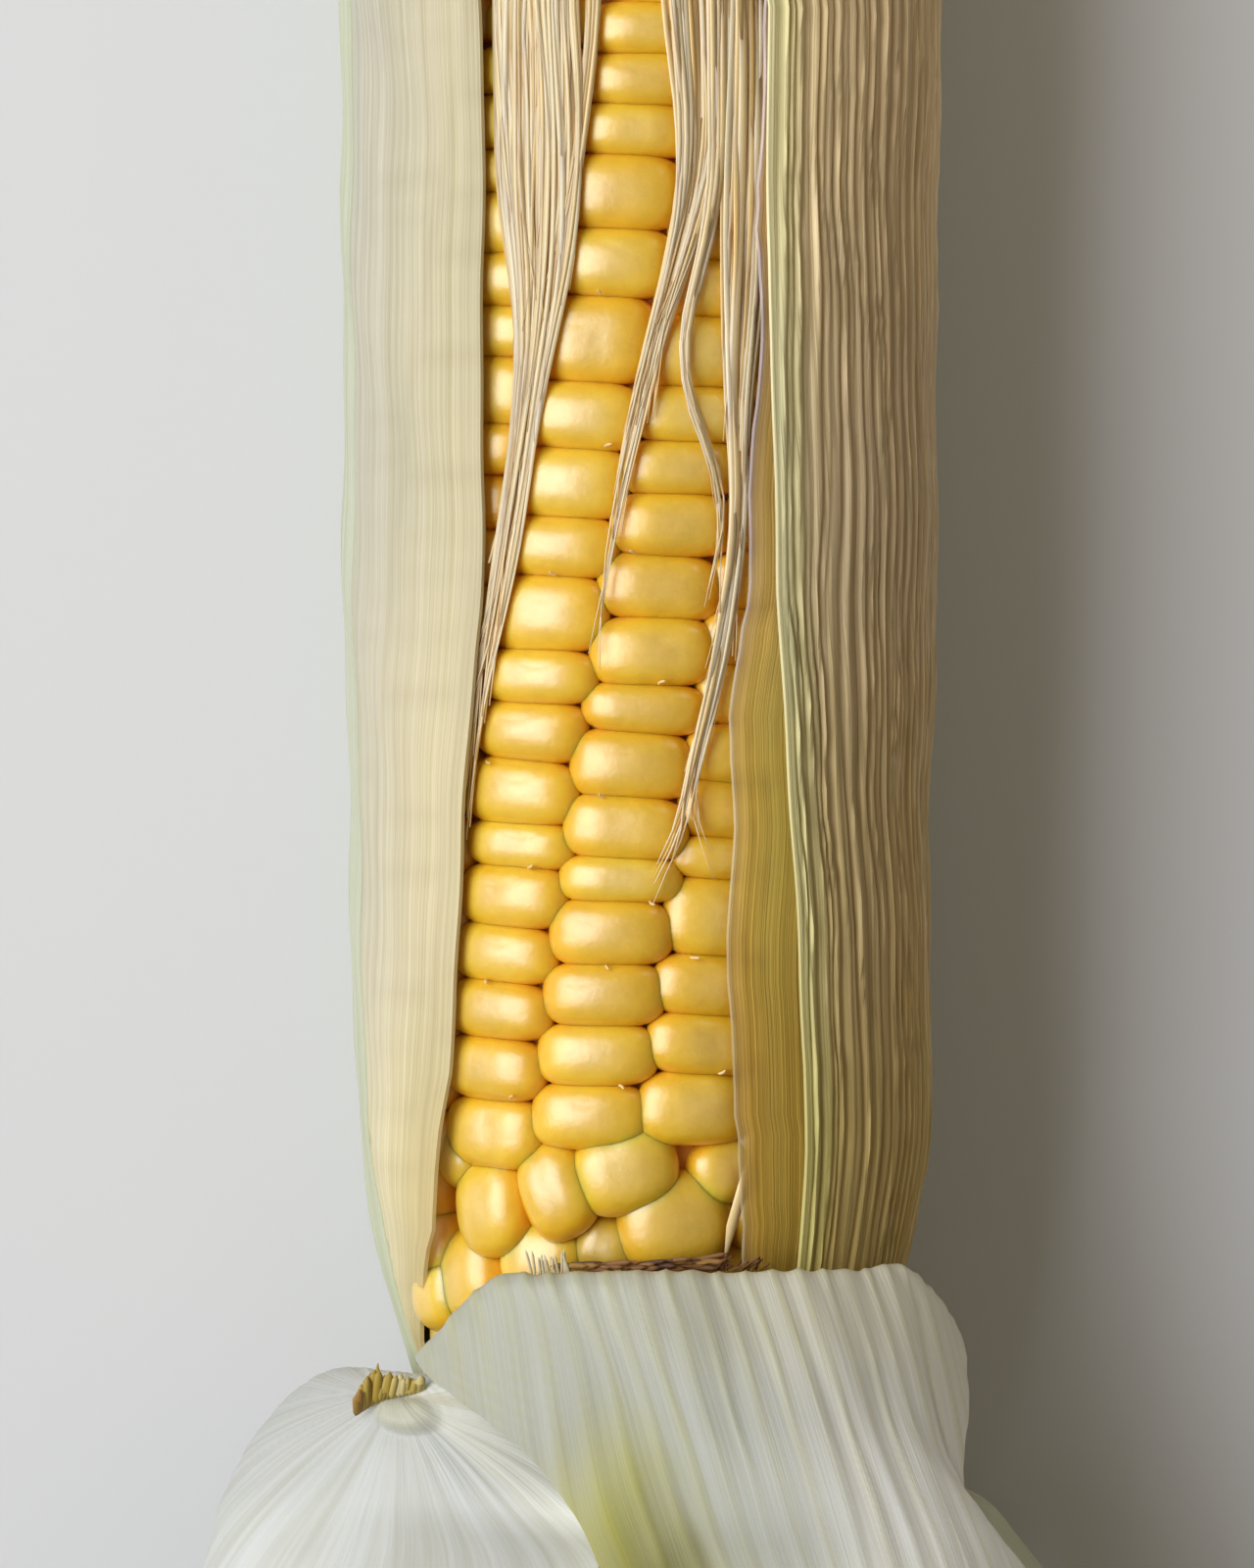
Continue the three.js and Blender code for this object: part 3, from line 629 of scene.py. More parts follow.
def thin_marks(u, v):
    """Brown blotches, painted shade over the seams of the kernels below, and clear enough to show the
    kernels.
    """
    s = mix(-19, 196, v)
    angle = mix(line_through(RIGHT_INNER_EDGE, s), RIGHT_INNER_FAR_EDGE, (u + 1) / 2)
    # The seam term is painted shade of the kernels below; the noise term is the leaf's own blotches.
    stain_and_shade = 0.17 * seam(angle, s) + 0.18 * clamp(2 * waver(14 * u, 52 * v, 3.1))
    edge = 1 - ease(-0.9, -0.6, u)
    brink = 0.35 * ease(-0.90, -1.0, u)
    return (0.0, edge * clamp(stain_and_shade), (0.20 * edge + brink) * (1 - ease(0.55, 0.65, v)))


def ragged_edge(s):
    """The thin leaf's edge beside the kernels, a little uneven."""
    uneven = waver(s * 0.11, 0.0, 6.0) + 0.5 * waver(s * 0.5, 0.0, 2.0)
    return line_through(RIGHT_INNER_EDGE, s) + 1.1 * uneven


leaf(
    "husk_right_inner", tan_thin,
    wrapped(0, -19, 196, 145, ragged_edge, RIGHT_INNER_FAR_EDGE,
            wave=lambda angle, s: 0.12 * math.sin(s * 0.33 + 0.05 * angle)),
    80, 130,
    relief=lambda u, v: 0.03 * math.sin(u * 80),
    marks=thin_marks,
)

# The pleated leaf on the right: dry, crinkled lengthwise into uneven ridges, green along its edge.
# Its colour is painted darker towards its far side, which turns away from the light: painted shade. Towards
# the tip it is paler, partly its own colour and partly painted light.
pleated = leaf_skin(
    "husk_pleated",
    [(0.0, (0.84, 0.86, 0.66)), (0.014, (0.78, 0.80, 0.56)), (0.04, (0.68, 0.66, 0.44)),
     (0.09, (0.86, 0.75, 0.54)), (0.16, (0.88, 0.76, 0.57)), (0.33, (0.78, 0.66, 0.50)),
     (0.6, (0.68, 0.57, 0.42)), (1.0, (0.52, 0.45, 0.28))],
    240, 0.26, 0.5, 0.62,
    [(0.0, (0.88, 0.79, 0.38)), (0.14, (0.90, 0.80, 0.44)), (0.24, (1.0, 0.90, 0.66)),
     (0.36, (1.1, 1.02, 0.92)), (0.5, (1.30, 1.18, 1.02)), (1.0, (1.1, 1.1, 0.9))],
    coarse=0.12,
)


PLEATED_WIDTH = 38
BROAD_RIDGE = 1.2
NARROW_RIDGE = 0.66
RIDGE_HEIGHT = 0.50


def across_pleats(u):
    return (u + 1) / 2 * PLEATED_WIDTH


def crinkle(u, v):
    """How high a point stands on the uneven ridges, from 0 in the valleys to 1 on the crests."""
    s = mix(-19, 214, v)
    x = across_pleats(u)
    wander = 0.30 * waver(x * 0.6, s * 0.13, 5.0)
    x += 0.9 * waver(x * 0.16, s * 0.022, 0.0) + wander
    broad = abs(math.sin(math.pi * x / BROAD_RIDGE))
    narrow = abs(math.sin(math.pi * (x / NARROW_RIDGE + 0.4 * math.sin(x * 0.5))))
    weight = clamp(0.55 + 1.1 * waver(x * 0.8, s * 0.03, 9.0))
    return mix(1 - broad**0.8, 1 - narrow**0.8, 1 - weight)


def pleats(u, v):
    return ease(0.0, 1.0, across_pleats(u)) * RIDGE_HEIGHT * (crinkle(u, v) - 0.4)


def pleat_marks(u, v):
    """The valleys are painted browner than the crests: painted shade in the pleats."""
    x = across_pleats(u)
    brown = mix(0.12, 0.46, ease(1.0, 5.0, x)) * (1 - crinkle(u, v)) ** 1.5
    return (0.0, brown * ease(0.3, 1.2, x), 0.0)


RIGHT_FLARE = 1.1


def right_flare(u, s):
    """The leaf stands off a little near the butt."""
    return RIGHT_FLARE * ease(0.6, -0.4, u) * ease(-10, 6, s) * (1 - ease(14, 45, s))


leaf(
    "husk_right_pleated", pleated,
    wrapped(1, -19, 214, 160, lambda s: line_through(RIGHT_OUTER_EDGE, s), RIGHT_OUTER_FAR_EDGE,
            stand_off=right_flare,
            wave=lambda angle, s: 0.15 * math.sin(s * 0.17 + 0.05 * angle) + 0.10 * math.sin(s * 0.41)),
    290, 112,
    relief=pleats,
    marks=pleat_marks,
)

# The greener outer leaves, of which only an edge shows from above.
green = leaf_skin(
    "husk_green",
    [(0.0, (0.50, 0.53, 0.27)), (0.3, (0.42, 0.47, 0.20)), (0.7, (0.42, 0.47, 0.20)),
     (1.0, (0.50, 0.53, 0.27))],
    80, 0.22, 0.4, 0.5,
    [(0.0, (1.1, 1.1, 1.1)), (0.2, WHITE), (0.7, (0.9, 0.95, 0.85)), (1.0, (0.95, 0.9, 0.7))],
)
pale_green = leaf_skin(
    "husk_pale_green",
    [(0.0, (0.58, 0.59, 0.45)), (0.5, (0.58, 0.60, 0.46)), (1.0, (0.61, 0.63, 0.51))],
    110, 0.14, 0.3, 0.5,
    [(0.0, (0.95, 0.97, 0.85)), (0.3, WHITE), (1.0, (0.9, 0.95, 0.8))],
)
leaf(
    "husk_left_outer", pale_green,
    wrapped(1, -20, 198, 140, lambda s: -80, -152, side=-1,
            stand_off=lambda u, s: -0.85 * ease(-0.4, -1, u), wave=left_wave),
    90, 120,
    relief=lambda u, v: 0.06 * math.sin(u * 70) + 0.03 * math.sin(u * 150),
    thickness=0.16,
)
leaf(
    "husk_back", green,
    wrapped(2, -21, 221, 165, lambda s: 110, 231),
    120, 130,
    relief=lambda u, v: 0.06 * math.sin(u * 90) + 0.03 * math.sin(u * 190),
    floor=True,
)


# Leaves peeled back at the butt.
# Three leaves are folded over the butt towards the shank. Each is a grid swept through the solid's
# cross-sections, ribbed lengthwise where the leaf is, with its own paler inner side outwards.
def through_rows(rows, t):
    """A smooth curve through the rows, at t from 0 to 1."""
    x = clamp(t) * (len(rows) - 1)
    i = min(len(rows) - 2, int(x))
    f = x - i
    row = [rows[min(len(rows) - 1, max(0, k))] for k in (i - 1, i, i + 1, i + 2)]
    return [
        p1 + 0.5 * ((p2 - p0) * f + (2 * p0 - 5 * p1 + 4 * p2 - p3) * f * f
                    + (3 * p1 - p0 - 3 * p2 + p3) * f**3)
        for p0, p1, p2, p3 in zip(*row)
    ]


def swept(stations, droop=None, dip=None):
    def surface(u, v):
        s, x, up, tilt, curve, half = through_rows(stations, v)
        turn = curve * half * u
        across = math.sin(turn) / curve if abs(curve) > 1e-5 else half * u
        sag = (math.cos(turn) - 1) / curve if abs(curve) > 1e-5 else 0.0
        sine, cosine = math.sin(math.radians(tilt)), math.cos(math.radians(tilt))
        back = droop(u, v) if droop else 0.0
        low = up - (dip(u, v) if dip else 0.0)
        return from_ear(x + across * cosine + sag * sine, s - back, low - across * sine + sag * cosine)

    return surface


# Cross-sections from where a leaf leaves the shank to its tip, in mm: distance from the butt, place
# across, height above the cob's axis, tilt in degrees, curvature and half width.
FRONT_STATIONS = [
    (-11, 10, 12.5, 39, 1 / 16, 7.5),
    (-6, 8.8, 15.6, 29, 1 / 17.9, 13.4),
    (1, 6, 19.7, 16.8, 1 / 20.6, 23.2),
    (6, 7.1, 21.7, 18, 1 / 22.8, 25.4),
    (7.6, 7.4, 23.2, 17.5, 1 / 24.2, 25.8),
    (6.4, 7.9, 24.8, 16.5, 1 / 25.4, 25.2),
    (1.5, 10, 25.6, 16, 1 / 25, 19.6),
    (-4, 11.6, 25.2, 15, 1 / 22.5, 16.4),
    (-10, 15.2, 24.6, 13, 1 / 19, 17.9),
    (-16, 18.8, 22.4, 10, 1 / 18, 18.6),
    (-28, 22.8, 17.6, 8, 1 / 19, 19),
    (-44, 26, 8.6, 5, 1 / 23, 18.4),
    (-62, 29, -3.2, 3, 1 / 30, 17.2),
    (-80, 32, -13.6, 2, 1 / 46, 15),
    (-98, 34.8, -20, 1, 1 / 120, 11.6),
    (-114, 37.4, -21.9, 0, -1 / 60, 7),
    (-127, 40, -22.3, 0, -1 / 40, 1.3),
]
LEFT_STATIONS = [
    (-19, -14.4, 0.2, -91, 1 / 14.4, 7),
    (-11, -16.8, 0.6, -88, 1 / 16.6, 9),
    (-4.5, -19.8, 2.6, -82, 1 / 18.6, 11.5),
    (-1.2, -21.4, 6.2, -70, 1 / 19.6, 13.5),
    (-1.4, -22.6, 10.4, -58, 1 / 19.6, 16),
    (-5, -23.6, 13.8, -44, 1 / 18.8, 19.9),
    (-10, -23.6, 16.2, -32, 1 / 17.8, 21.6),
    (-16, -23.4, 16.2, -24, 1 / 17.4, 22.4),
    (-27, -26, 14.6, -18, 1 / 19, 21.2),
    (-42, -30, 8, -12, 1 / 24, 20),
    (-59, -33, -2.6, -8, 1 / 34, 18.5),
    (-76, -37, -13, -4, 1 / 60, 15.5),
    (-92, -40.5, -20, -1, 1 / 160, 12),
    (-106, -43, -22, 0, -1 / 60, 7),
    (-117, -44.5, -22.3, 0, -1 / 40, 1.3),
]
RIGHT_STATIONS = [
    (-21, 15.4, 0.4, 88, 1 / 15.4, 9),
    (-16, 19, 0.6, 86, 1 / 18, 12),
    (-12.4, 23, 1, 80, 1 / 21, 14.5),
    (-12.6, 26, 0.4, 72, 1 / 22, 16.5),
    (-17.5, 29, -1.4, 64, 1 / 22, 18),
    (-26, 33.5, -4, 54, 1 / 25, 18.6),
    (-39, 40, -8.6, 40, 1 / 32, 17.6),
    (-54, 47, -13.8, 24, 1 / 55, 15),
    (-69, 53, -18.8, 10, 1 / 120, 11.5),
    (-83, 57.5, -21.7, 2, -1 / 70, 7),
    (-94, 60.5, -22.3, 0, -1 / 50, 1.3),
]


def front_droop(u, v):
    late = ease(0.08, 0.22, v) * (1 - ease(0.5, 0.75, v))
    return late * (7 * ease(-0.62, -1.05, u) ** 1.3 + 5.5 * ease(0.55, 1.1, u))


def front_dip(u, v):
    return -2.2 * ease(-0.4, -1, u) * ease(0.40, 0.52, v) * (1 - ease(0.65, 0.85, v))


def left_dip(u, v):
    return -9 * clamp((u - 0.1) / 0.9) ** 2 * ease(0.34, 0.46, v) * (1 - ease(0.6, 0.85, v))


def left_droop(u, v):
    return ease(0.1, 0.25, v) * (1 - ease(0.5, 0.8, v)) * 2 * ease(0.2, -1.1, u)


# The wide front leaf, greenish white, with a rib every couple of millimetres.
# Its colour is painted darker over its left part and at its right edge, which turn from the light: painted
# shade. From its foot to just past the fold it is darker and warmer, partly its own colour and partly
# painted shade.
front_skin = leaf_skin(
    "husk_front",
    [(0.15, (0.48, 0.495, 0.47)), (0.4, (0.60, 0.615, 0.59)), (0.6, (0.89, 0.89, 0.86)),
     (0.75, (0.95, 0.95, 0.91)), (1.0, (0.86, 0.86, 0.81))],
    150, 0.04, 0.16, 0.42,
    [(0.0, (0.86, 0.83, 0.66)), (0.24, (0.82, 0.80, 0.70)), (0.345, (0.88, 0.86, 0.78)),
     (0.42, (0.96, 0.96, 0.95)), (0.5, WHITE), (0.8, (0.96, 1.0, 0.88)), (1.0, (0.8, 0.86, 0.55))],
    blotched=0.5,
)
RIB_STEP = 2.1
RIB_LEAN = 0.3


def across_ribs(u, v):
    """Distance across the front leaf in mm, the same all along a rib. Past the fold the ribs lean."""
    s, x, _, _, _, half = through_rows(FRONT_STATIONS, v)
    return x + half * u + RIB_LEAN * s


def wandering_ribs(u, v):
    return across_ribs(u, v) + 0.5 * waver(u * 3, v * 9, 1.0)


def front_ribs(u, v):
    x = wandering_ribs(u, v)
    rib = abs(math.sin(x * math.pi / RIB_STEP)) ** 0.6
    uneven = 0.6 + waver(x * 0.4, v * 7, 4.0)
    fold = hill(v - 0.27, 0.05)
    swell = waver(x * 0.13, v * 5, 8.0)
    ridge_at = line_through([(0.30, 0.6), (0.333, 0.66), (0.3875, 0.75), (0.425, 0.89), (0.46, 1.1)], v)
    ridge = hill(u - ridge_at, 0.035) * ease(0.28, 0.33, v)
    return ease(0.02, 0.2, v) * (mix(0.20, 0.34, fold) * rib * uneven + 0.4 * swell + 0.30 * ridge)


def front_marks(u, v):
    """Painted shade, olive, in the valley beside the left leaf, and faintly between the ribs."""
    ragged = 0.06 * waver(u * 9, v * 30, 2.0)
    valley = hill(u + 0.93 + ragged, 0.30) * ease(0.37, 0.46, v)
    valley *= 1 - 0.6 * ease(0.6, 0.9, v)
    x = wandering_ribs(u, v)
    line = (1 - abs(math.sin(x * math.pi / RIB_STEP))) ** 2
    between = line * clamp(0.30 + 0.3 * waver(x * 0.5, v * 6, 3.0)) * ease(0.75, 0.35, v)
    return (clamp(0.80 * valley + 0.8 * between), 0.0, 0.0)


leaf("husk_peeled_front", front_skin, swept(FRONT_STATIONS, front_droop, front_dip), 230, 150,
     relief=front_ribs, thickness=0.4, marks=front_marks, veins=lambda u, v: across_ribs(u, v) / 50 + 0.3)

# The left leaf, folded down to the side, with fine veins spreading from a torn pocket at its fold.
# Beside the pocket towards its right edge the blade is painted lighter, where it turns from the light:
# painted light.
left_skin = leaf_skin(
    "husk_lobe",
    [(0.0, (0.50, 0.51, 0.51)), (0.56, (0.52, 0.53, 0.525)), (0.65, (0.68, 0.68, 0.63)),
     (1.0, (0.68, 0.68, 0.63))],
    70, 0.10, 0.3, 0.42,
    [(0.0, (0.9, 0.9, 0.7)), (0.3, WHITE), (0.40, (1.02, 1.02, 1.01)), (0.47, (1.16, 1.16, 1.14)),
     (0.6, (1.16, 1.16, 1.12)), (1.0, (0.8, 0.86, 0.55))],
    blotched=0.5,
)
POCKET_AT = (0.40, 0.338)


def from_pocket(u, v):
    """The veins spread from the pocket like a fan, so each keeps its angle round it."""
    return 0.5 + math.atan2(u - POCKET_AT[0], 7.5 * abs(v - 0.31) + 0.06) / 3.2


def pocket(u, v):
    """1 inside the torn pocket and 0 outside, with a sharp lip on the side away from the fold."""
    aside = (u - POCKET_AT[0]) / 0.13
    lip = POCKET_AT[1] + 0.016 - 0.010 * aside * aside
    return math.exp(-(aside**4)) * ease(lip + 0.005, lip - 0.009, v) * ease(-0.030, -0.010, v - POCKET_AT[1])


def left_veins(u, v):
    x = from_pocket(u, v)
    near_pocket = hill(v - 0.35, 0.12)
    veins = 0.020 * math.sin(x * 160) + 0.018 * math.sin(x * 73 + 2)
    pull = 0.10 * waver(x * 16, v * 6, 7.0) * near_pocket
    return ease(0.1, 0.3, v) * (veins + pull - 0.8 * pocket(u, v))


def left_marks(u, v):
    x = from_pocket(u, v)
    veins = clamp(3 * waver(x * 95, 0.0, v * 3) - 0.9)
    veins *= hill(v - 0.35, 0.09)
    spots = clamp(2.4 * waver(x * 22, v * 60, 1.3) - 0.9)
    spots *= hill(v - 0.372, 0.02)
    rim = hill(v - 0.312, 0.010) * ease(0.30, 0.42, u) * (1 - ease(0.9, 1.0, u))
    return (clamp(0.24 * pocket(u, v) + 0.16 * rim), clamp(0.10 * veins + 0.14 * spots + 0.16 * rim), 0.0)


leaf("husk_peeled_left", left_skin, swept(LEFT_STATIONS, left_droop, left_dip), 190, 200,
     relief=left_veins, thickness=0.4, marks=left_marks, veins=from_pocket)

# The green leaf behind on the right.
leaf("husk_peeled_right", pale_green, swept(RIGHT_STATIONS), 110, 100,
     relief=lambda u, v: 0.10 * math.sin(u * 50) * ease(0.05, 0.3, v), thickness=0.4)


# Silk.
# Silks are flat glossy strands that lie on the kernels in locks, cross one another, and curl where
# they end. Each is a thin ribbon swept down its lock's guide, which is its distance from the butt,
# angle round the cob and half the lock's spread in mm.
silk_skin = Skin("silk")
shade, _, _ = silk_skin.layer("tone")
silk_skin.finish(
    silk_skin.coloured(shade, [(0.0, (0.86, 0.51, 0.18)), (0.3, (0.92, 0.62, 0.29)),
                               (1.0, (0.94, 0.73, 0.44))]),
    {
        "Roughness": 0.32, "Coat Weight": 0.25, "Coat Roughness": 0.25,
        "Subsurface Weight": 0.45, "Subsurface Radius": (1.0, 0.7, 0.4), "Subsurface Scale": 0.0006,
    },
)

chance = random.Random(11)


def ribbon(gather, path, width, thickness, shade, twist=0.0):
    """A flat strand along a path of (place, up) in metres, with width and thickness in mm."""
    points, faces, tones = [], [], []
    last = len(path) - 1
    for i, (place, up) in enumerate(path):
        along = (path[min(last, i + 1)][0] - path[max(0, i - 1)][0]).normalized()
        up = (up - along * up.dot(along)).normalized()
        up = Matrix.Rotation(twist * math.sin(i * 0.22 + shade * 9), 3, along) @ up
        aside = along.cross(up)
        t = i / last
        w = width * min(1.0, 0.25 + 6 * t, 0.12 + 5 * (1 - t)) / 2000
        h = thickness / 1000
        for across, lift in ((-1, 0.0), (0, 0.2), (1, 0.0), (1, -1.0), (-1, -1.0)):
            points.append(place + aside * across * w + up * lift * h)
            tones.append((shade, 0.0, 0.0))
    for i in range(last):
        for k in range(5):
            a, b = 5 * i + k, 5 * i + (k + 1) % 5
            faces.append((a, b, b + 5, a + 5))
    faces.append((4, 3, 2, 1, 0))
    faces.append(tuple(5 * last + k for k in range(5)))
    gather.add(points, faces, tones, [(0.0, 0.0, 0.0)] * len(points))


def column(rows, k):
    return [(row[0], row[k]) for row in rows]


def guide_at(guide, s):
    """Angle and half spread at s, with the guide's corners rounded."""
    places = [s + step for step in (-4, -2, 0, 2, 4)]
    columns = [column(guide, k) for k in (1, 2)]
    return [sum(line_through(rows, place) for place in places) / len(places) for rows in columns]


def lock(gather, guide, count, width, ends, layer=0.0, bed=False):
    """count strands down one guide; ends is the range of distances where they stop. A bed of strands
    lies side by side, and others stray across one another."""
    guide = sorted(guide)
    top = guide[-1][0]
    for k in range(count):
        end = chance.uniform(*ends)
        offset = 0.94 * (2 * (k + 0.5) / count - 1) if bed else chance.uniform(-1, 1)
        phase, rate = chance.uniform(0, 6.3), chance.uniform(0.05, 0.12)
        drift = 0.05 if bed else chance.uniform(0.06, 0.24)
        height = layer + (0.05 * (k % 2) if bed else chance.uniform(0.08, 0.24))
        curl = chance.uniform(-1, 1)
        steps = max(14, int((top - end) / 2.4))
        path = []
        for i in range(steps + 1):
            s = mix(top, end, i / steps)
            angle, spread = guide_at(guide, s)
            radius = cob_radius(s)
            sway = offset + drift * math.sin(s * rate + phase)
            near_end = ease(end + 7, end, s)
            side_mm = spread * sway + curl * 0.7 * near_end**2
            up = height + 1.1 * ease(130, 165, s) + 0.05 * math.sin(s * 0.35 + phase)
            up += near_end**2 * abs(curl) * 0.3 - 0.05 * near_end
            turned = angle + math.degrees(side_mm / max(2.0, radius))
            path.append((around(radius + up, turned, s), around(1, turned, 0) - around(0, 0, 0)))
        shade = chance.uniform(0.1, 0.5) if bed else chance.uniform(0, 1)
        ribbon(gather, path, width * chance.uniform(0.8, 1.5), 0.07, shade, twist=0.08 if bed else 0.22)


def beside(x, s):
    """Angle of a point on the kernels that is x mm to the right of the cob's axis, seen from above."""
    return math.degrees(math.asin(clamp(x / (cob_radius(s) + 0.4), -1, 1)))


def guide_of(rows, beyond):
    """rows of (x, s, half spread) in mm on the shown stretch, and (s, angle, half spread) past it."""
    return [(s, beside(x, s), spread) for x, s, spread in rows] + beyond


left_lock, middle_lock, right_lock = Gatherer(), Gatherer(), Gatherer()
LEFT_GUIDE = guide_of(
    [(-8.0, 102, 3.1), (-7.5, 95, 3.3), (-7.5, 87, 3.0), (-7.3, 80, 1.8), (-8.2, 73, 1.0), (-9.1, 66, 0.95),
     (-10.4, 58, 0.9), (-11.8, 51, 0.5), (-12.7, 44, 0.3), (-13.4, 38, 0.2)],
    [(130, -20.5, 3.2), (160, -26, 2.2), (186, -75, 0.5)],
)
lock(left_lock, LEFT_GUIDE, 16, 0.86, (58, 84), bed=True)
lock(left_lock, LEFT_GUIDE, 6, 0.5, (40, 54), bed=True)
lock(left_lock, LEFT_GUIDE, 46, 0.30, (46, 84))
lock(left_lock, LEFT_GUIDE, 22, 0.34, (38, 60), layer=0.12)
lock(
    left_lock,
    guide_of([(-3.1, 102, 0.4), (-4.0, 94, 0.4), (-4.9, 87, 0.4), (-6.6, 80, 0.4), (-7.8, 72, 0.4)],
             [(130, -13, 1.0), (160, -18, 1.0), (186, -60, 0.4)]),
    8, 0.38, (70, 80),
)
MIDDLE_GUIDE = guide_of(
    [(4.6, 102, 2.4), (5.0, 91, 1.6), (3.6, 84, 1.0), (2.2, 80, 0.7), (0.4, 73, 0.7), (-1.1, 66.5, 0.5),
     (-2.1, 61.5, 0.4), (-3.1, 55.5, 0.25), (-3.7, 50.5, 0.2)],
    [(130, 9, 1.6), (160, 6, 1.4), (186, 5, 0.5)],
)
lock(middle_lock, MIDDLE_GUIDE, 8, 0.8, (62, 78), bed=True)
lock(middle_lock, MIDDLE_GUIDE, 28, 0.32, (61, 80))
lock(middle_lock, MIDDLE_GUIDE, 5, 0.30, (50, 58))
lock(
    middle_lock,
    guide_of([(6.2, 102, 0.8), (6.2, 87.6, 0.6), (4.5, 81, 0.4), (3.7, 78, 0.35), (2.9, 74.5, 0.3),
              (5.5, 68.6, 0.45), (6.9, 65.7, 0.5), (6.7, 61.3, 0.5), (5.0, 55.5, 0.2)],
             [(130, 15, 0.8), (160, 12, 0.8), (186, 30, 0.4)]),
    14, 0.34, (55, 66), layer=0.14,
)
RIGHT_GUIDE = guide_of(
    [(8.6, 102, 1.7), (8.4, 91, 1.8), (8.1, 80, 1.6), (7.6, 71.5, 0.9), (7.9, 64, 0.5), (6.9, 57, 0.6),
     (5.9, 51, 0.6), (4.6, 46.7, 0.55), (3.7, 43, 0.5), (3.1, 38.7, 0.35), (2.2, 36.1, 0.25),
     (-0.7, 33.6, 0.1)],
    [(130, 20.5, 1.0), (160, 24, 0.9), (186, 85, 0.3)],
)
lock(right_lock, RIGHT_GUIDE, 7, 0.8, (42, 60), bed=True)
lock(right_lock, RIGHT_GUIDE, 36, 0.32, (44, 70))
lock(right_lock, RIGHT_GUIDE, 9, 0.46, (34.2, 42), layer=0.14)
lock(
    right_lock,
    guide_of([(8.4, 102, 0.6), (8.2, 75, 0.5), (7.3, 60, 0.5), (5.8, 50, 0.3), (4.0, 43.8, 0.2),
              (3.8, 40.2, 0.2), (5.2, 37, 0.2), (6.9, 36.1, 0.15)],
             [(130, 21, 0.6), (160, 25, 0.6), (186, 85, 0.3)]),
    4, 0.4, (36.2, 45),
)
# One loose blade beside the last kernels.
LOOSE_BLADE = [(8.4, 16.4), (7.8, 13.9), (6.9, 10.6), (6.4, 8.0)]
path = [(around(cob_radius(s) + 1.0, beside(x, s), s), Vector((0.3, 0, 1))) for x, s in LOOSE_BLADE]
ribbon(right_lock, path, 0.80, 0.10, 0.45)
left_lock.build("silk_strands_left", silk_skin, "silk", "silk_left_lock")
middle_lock.build("silk_strands_middle", silk_skin, "silk", "silk_middle_lock")
right_lock.build("silk_strands_right", silk_skin, "silk", "silk_right_lock")

# The tuft at the tip, browner where it has dried in the air.
TUFT_STRANDS = 70
tuft = Gatherer()
for k in range(TUFT_STRANDS):
    way, reach = chance.uniform(0, 360), chance.uniform(0.5, 6.0)
    length, swing = chance.uniform(34, 50), chance.uniform(-40, 40)
    path = []
    for i in range(15):
        t = i / 14
        s = 184 + length * t
        turned = way + swing * t * t
        place = around(1.2 + reach * t**2.2 + 0.3 * math.sin(9 * t + way), turned, s)
        place.z -= 0.003 * t**2.5
        path.append((place, around(1, turned, 0) - around(0, 0, 0)))
    ribbon(tuft, path, chance.uniform(0.35, 0.6), 0.1, chance.uniform(0, 0.45), twist=0.6)
tuft.build("silk_strands_tuft", silk_skin, "silk", "silk_tuft")

# A wisp at many a kernel's joint: the dried end of the silk that fed it. Each is given by its row, its
# kernel and how far aside it stands, as a share of the row's width.
wisps = Gatherer()
WISPS = [(1, 4, 0.3), (1, 6, -0.1), (1, 8, 0.2), (1, 10, -0.3), (1, 12, -0.35), (1, 13, 0.1),
         (1, 15, 0.3), (1, 17, 0.0), (2, 4, 0.25), (2, 6, 0.0), (2, 7, 0.3), (2, 9, -0.2),
         (2, 11, 0.1), (2, 13, -0.3), (3, 4, 0.1), (3, 6, -0.3)]
for n, (row, k, share) in enumerate(WISPS):
    s = all_cuts[row][k]
    path = []
    for i in range(7):
        t = i / 6
        bend = n + 2.6 * (draw(n + 40) - 0.5) * t
        angle = row_angle(row, s) + ROW_STEP * share + 2.0 * math.sin(bend) * t
        path.append((around(cob_radius(s) - 0.55 + 0.5 * t, angle, s + 0.35 * math.cos(bend) * t),
                     Vector((0.2, 0.1, 1))))
    ribbon(wisps, path, 0.20, 0.07, 0.25)
wisps.build("silk_wisps", silk_skin, "silk")


# Torn and dried ends at the butt.
# Where the leaves were pulled back, the left leaf keeps a torn brown tip at its fold, and papery chaff
# and stiff bristles stand between the last kernels and the front leaf. All are thin tapering strips.
torn_skin = Skin("husk_torn")
shade, _, _ = torn_skin.layer("tone")
torn_skin.finish(
    torn_skin.coloured(shade, [(0.0, (0.10, 0.035, 0.015)), (0.35, (0.33, 0.15, 0.04)),
                               (0.6, (0.42, 0.29, 0.035)), (0.8, (0.58, 0.46, 0.14)),
                               (1.0, (0.80, 0.72, 0.52))]),
    {"Roughness": 0.6},
)


def strip(gather, start, end, width, shade, bend=(0.0, 0.0, 0.0), thickness=0.05):
    """A strip between two places given as (x, s, up) in mm, bent by an offset at its middle."""
    path = []
    for i in range(7):
        t = i / 6
        x, s, up = (mix(a, b, t) + 4 * t * (1 - t) * c for a, b, c in zip(start, end, bend))
        path.append((from_ear(x, s, up), Vector((0.15, 0.1, 1))))
    ribbon(gather, path, width, thickness, shade)


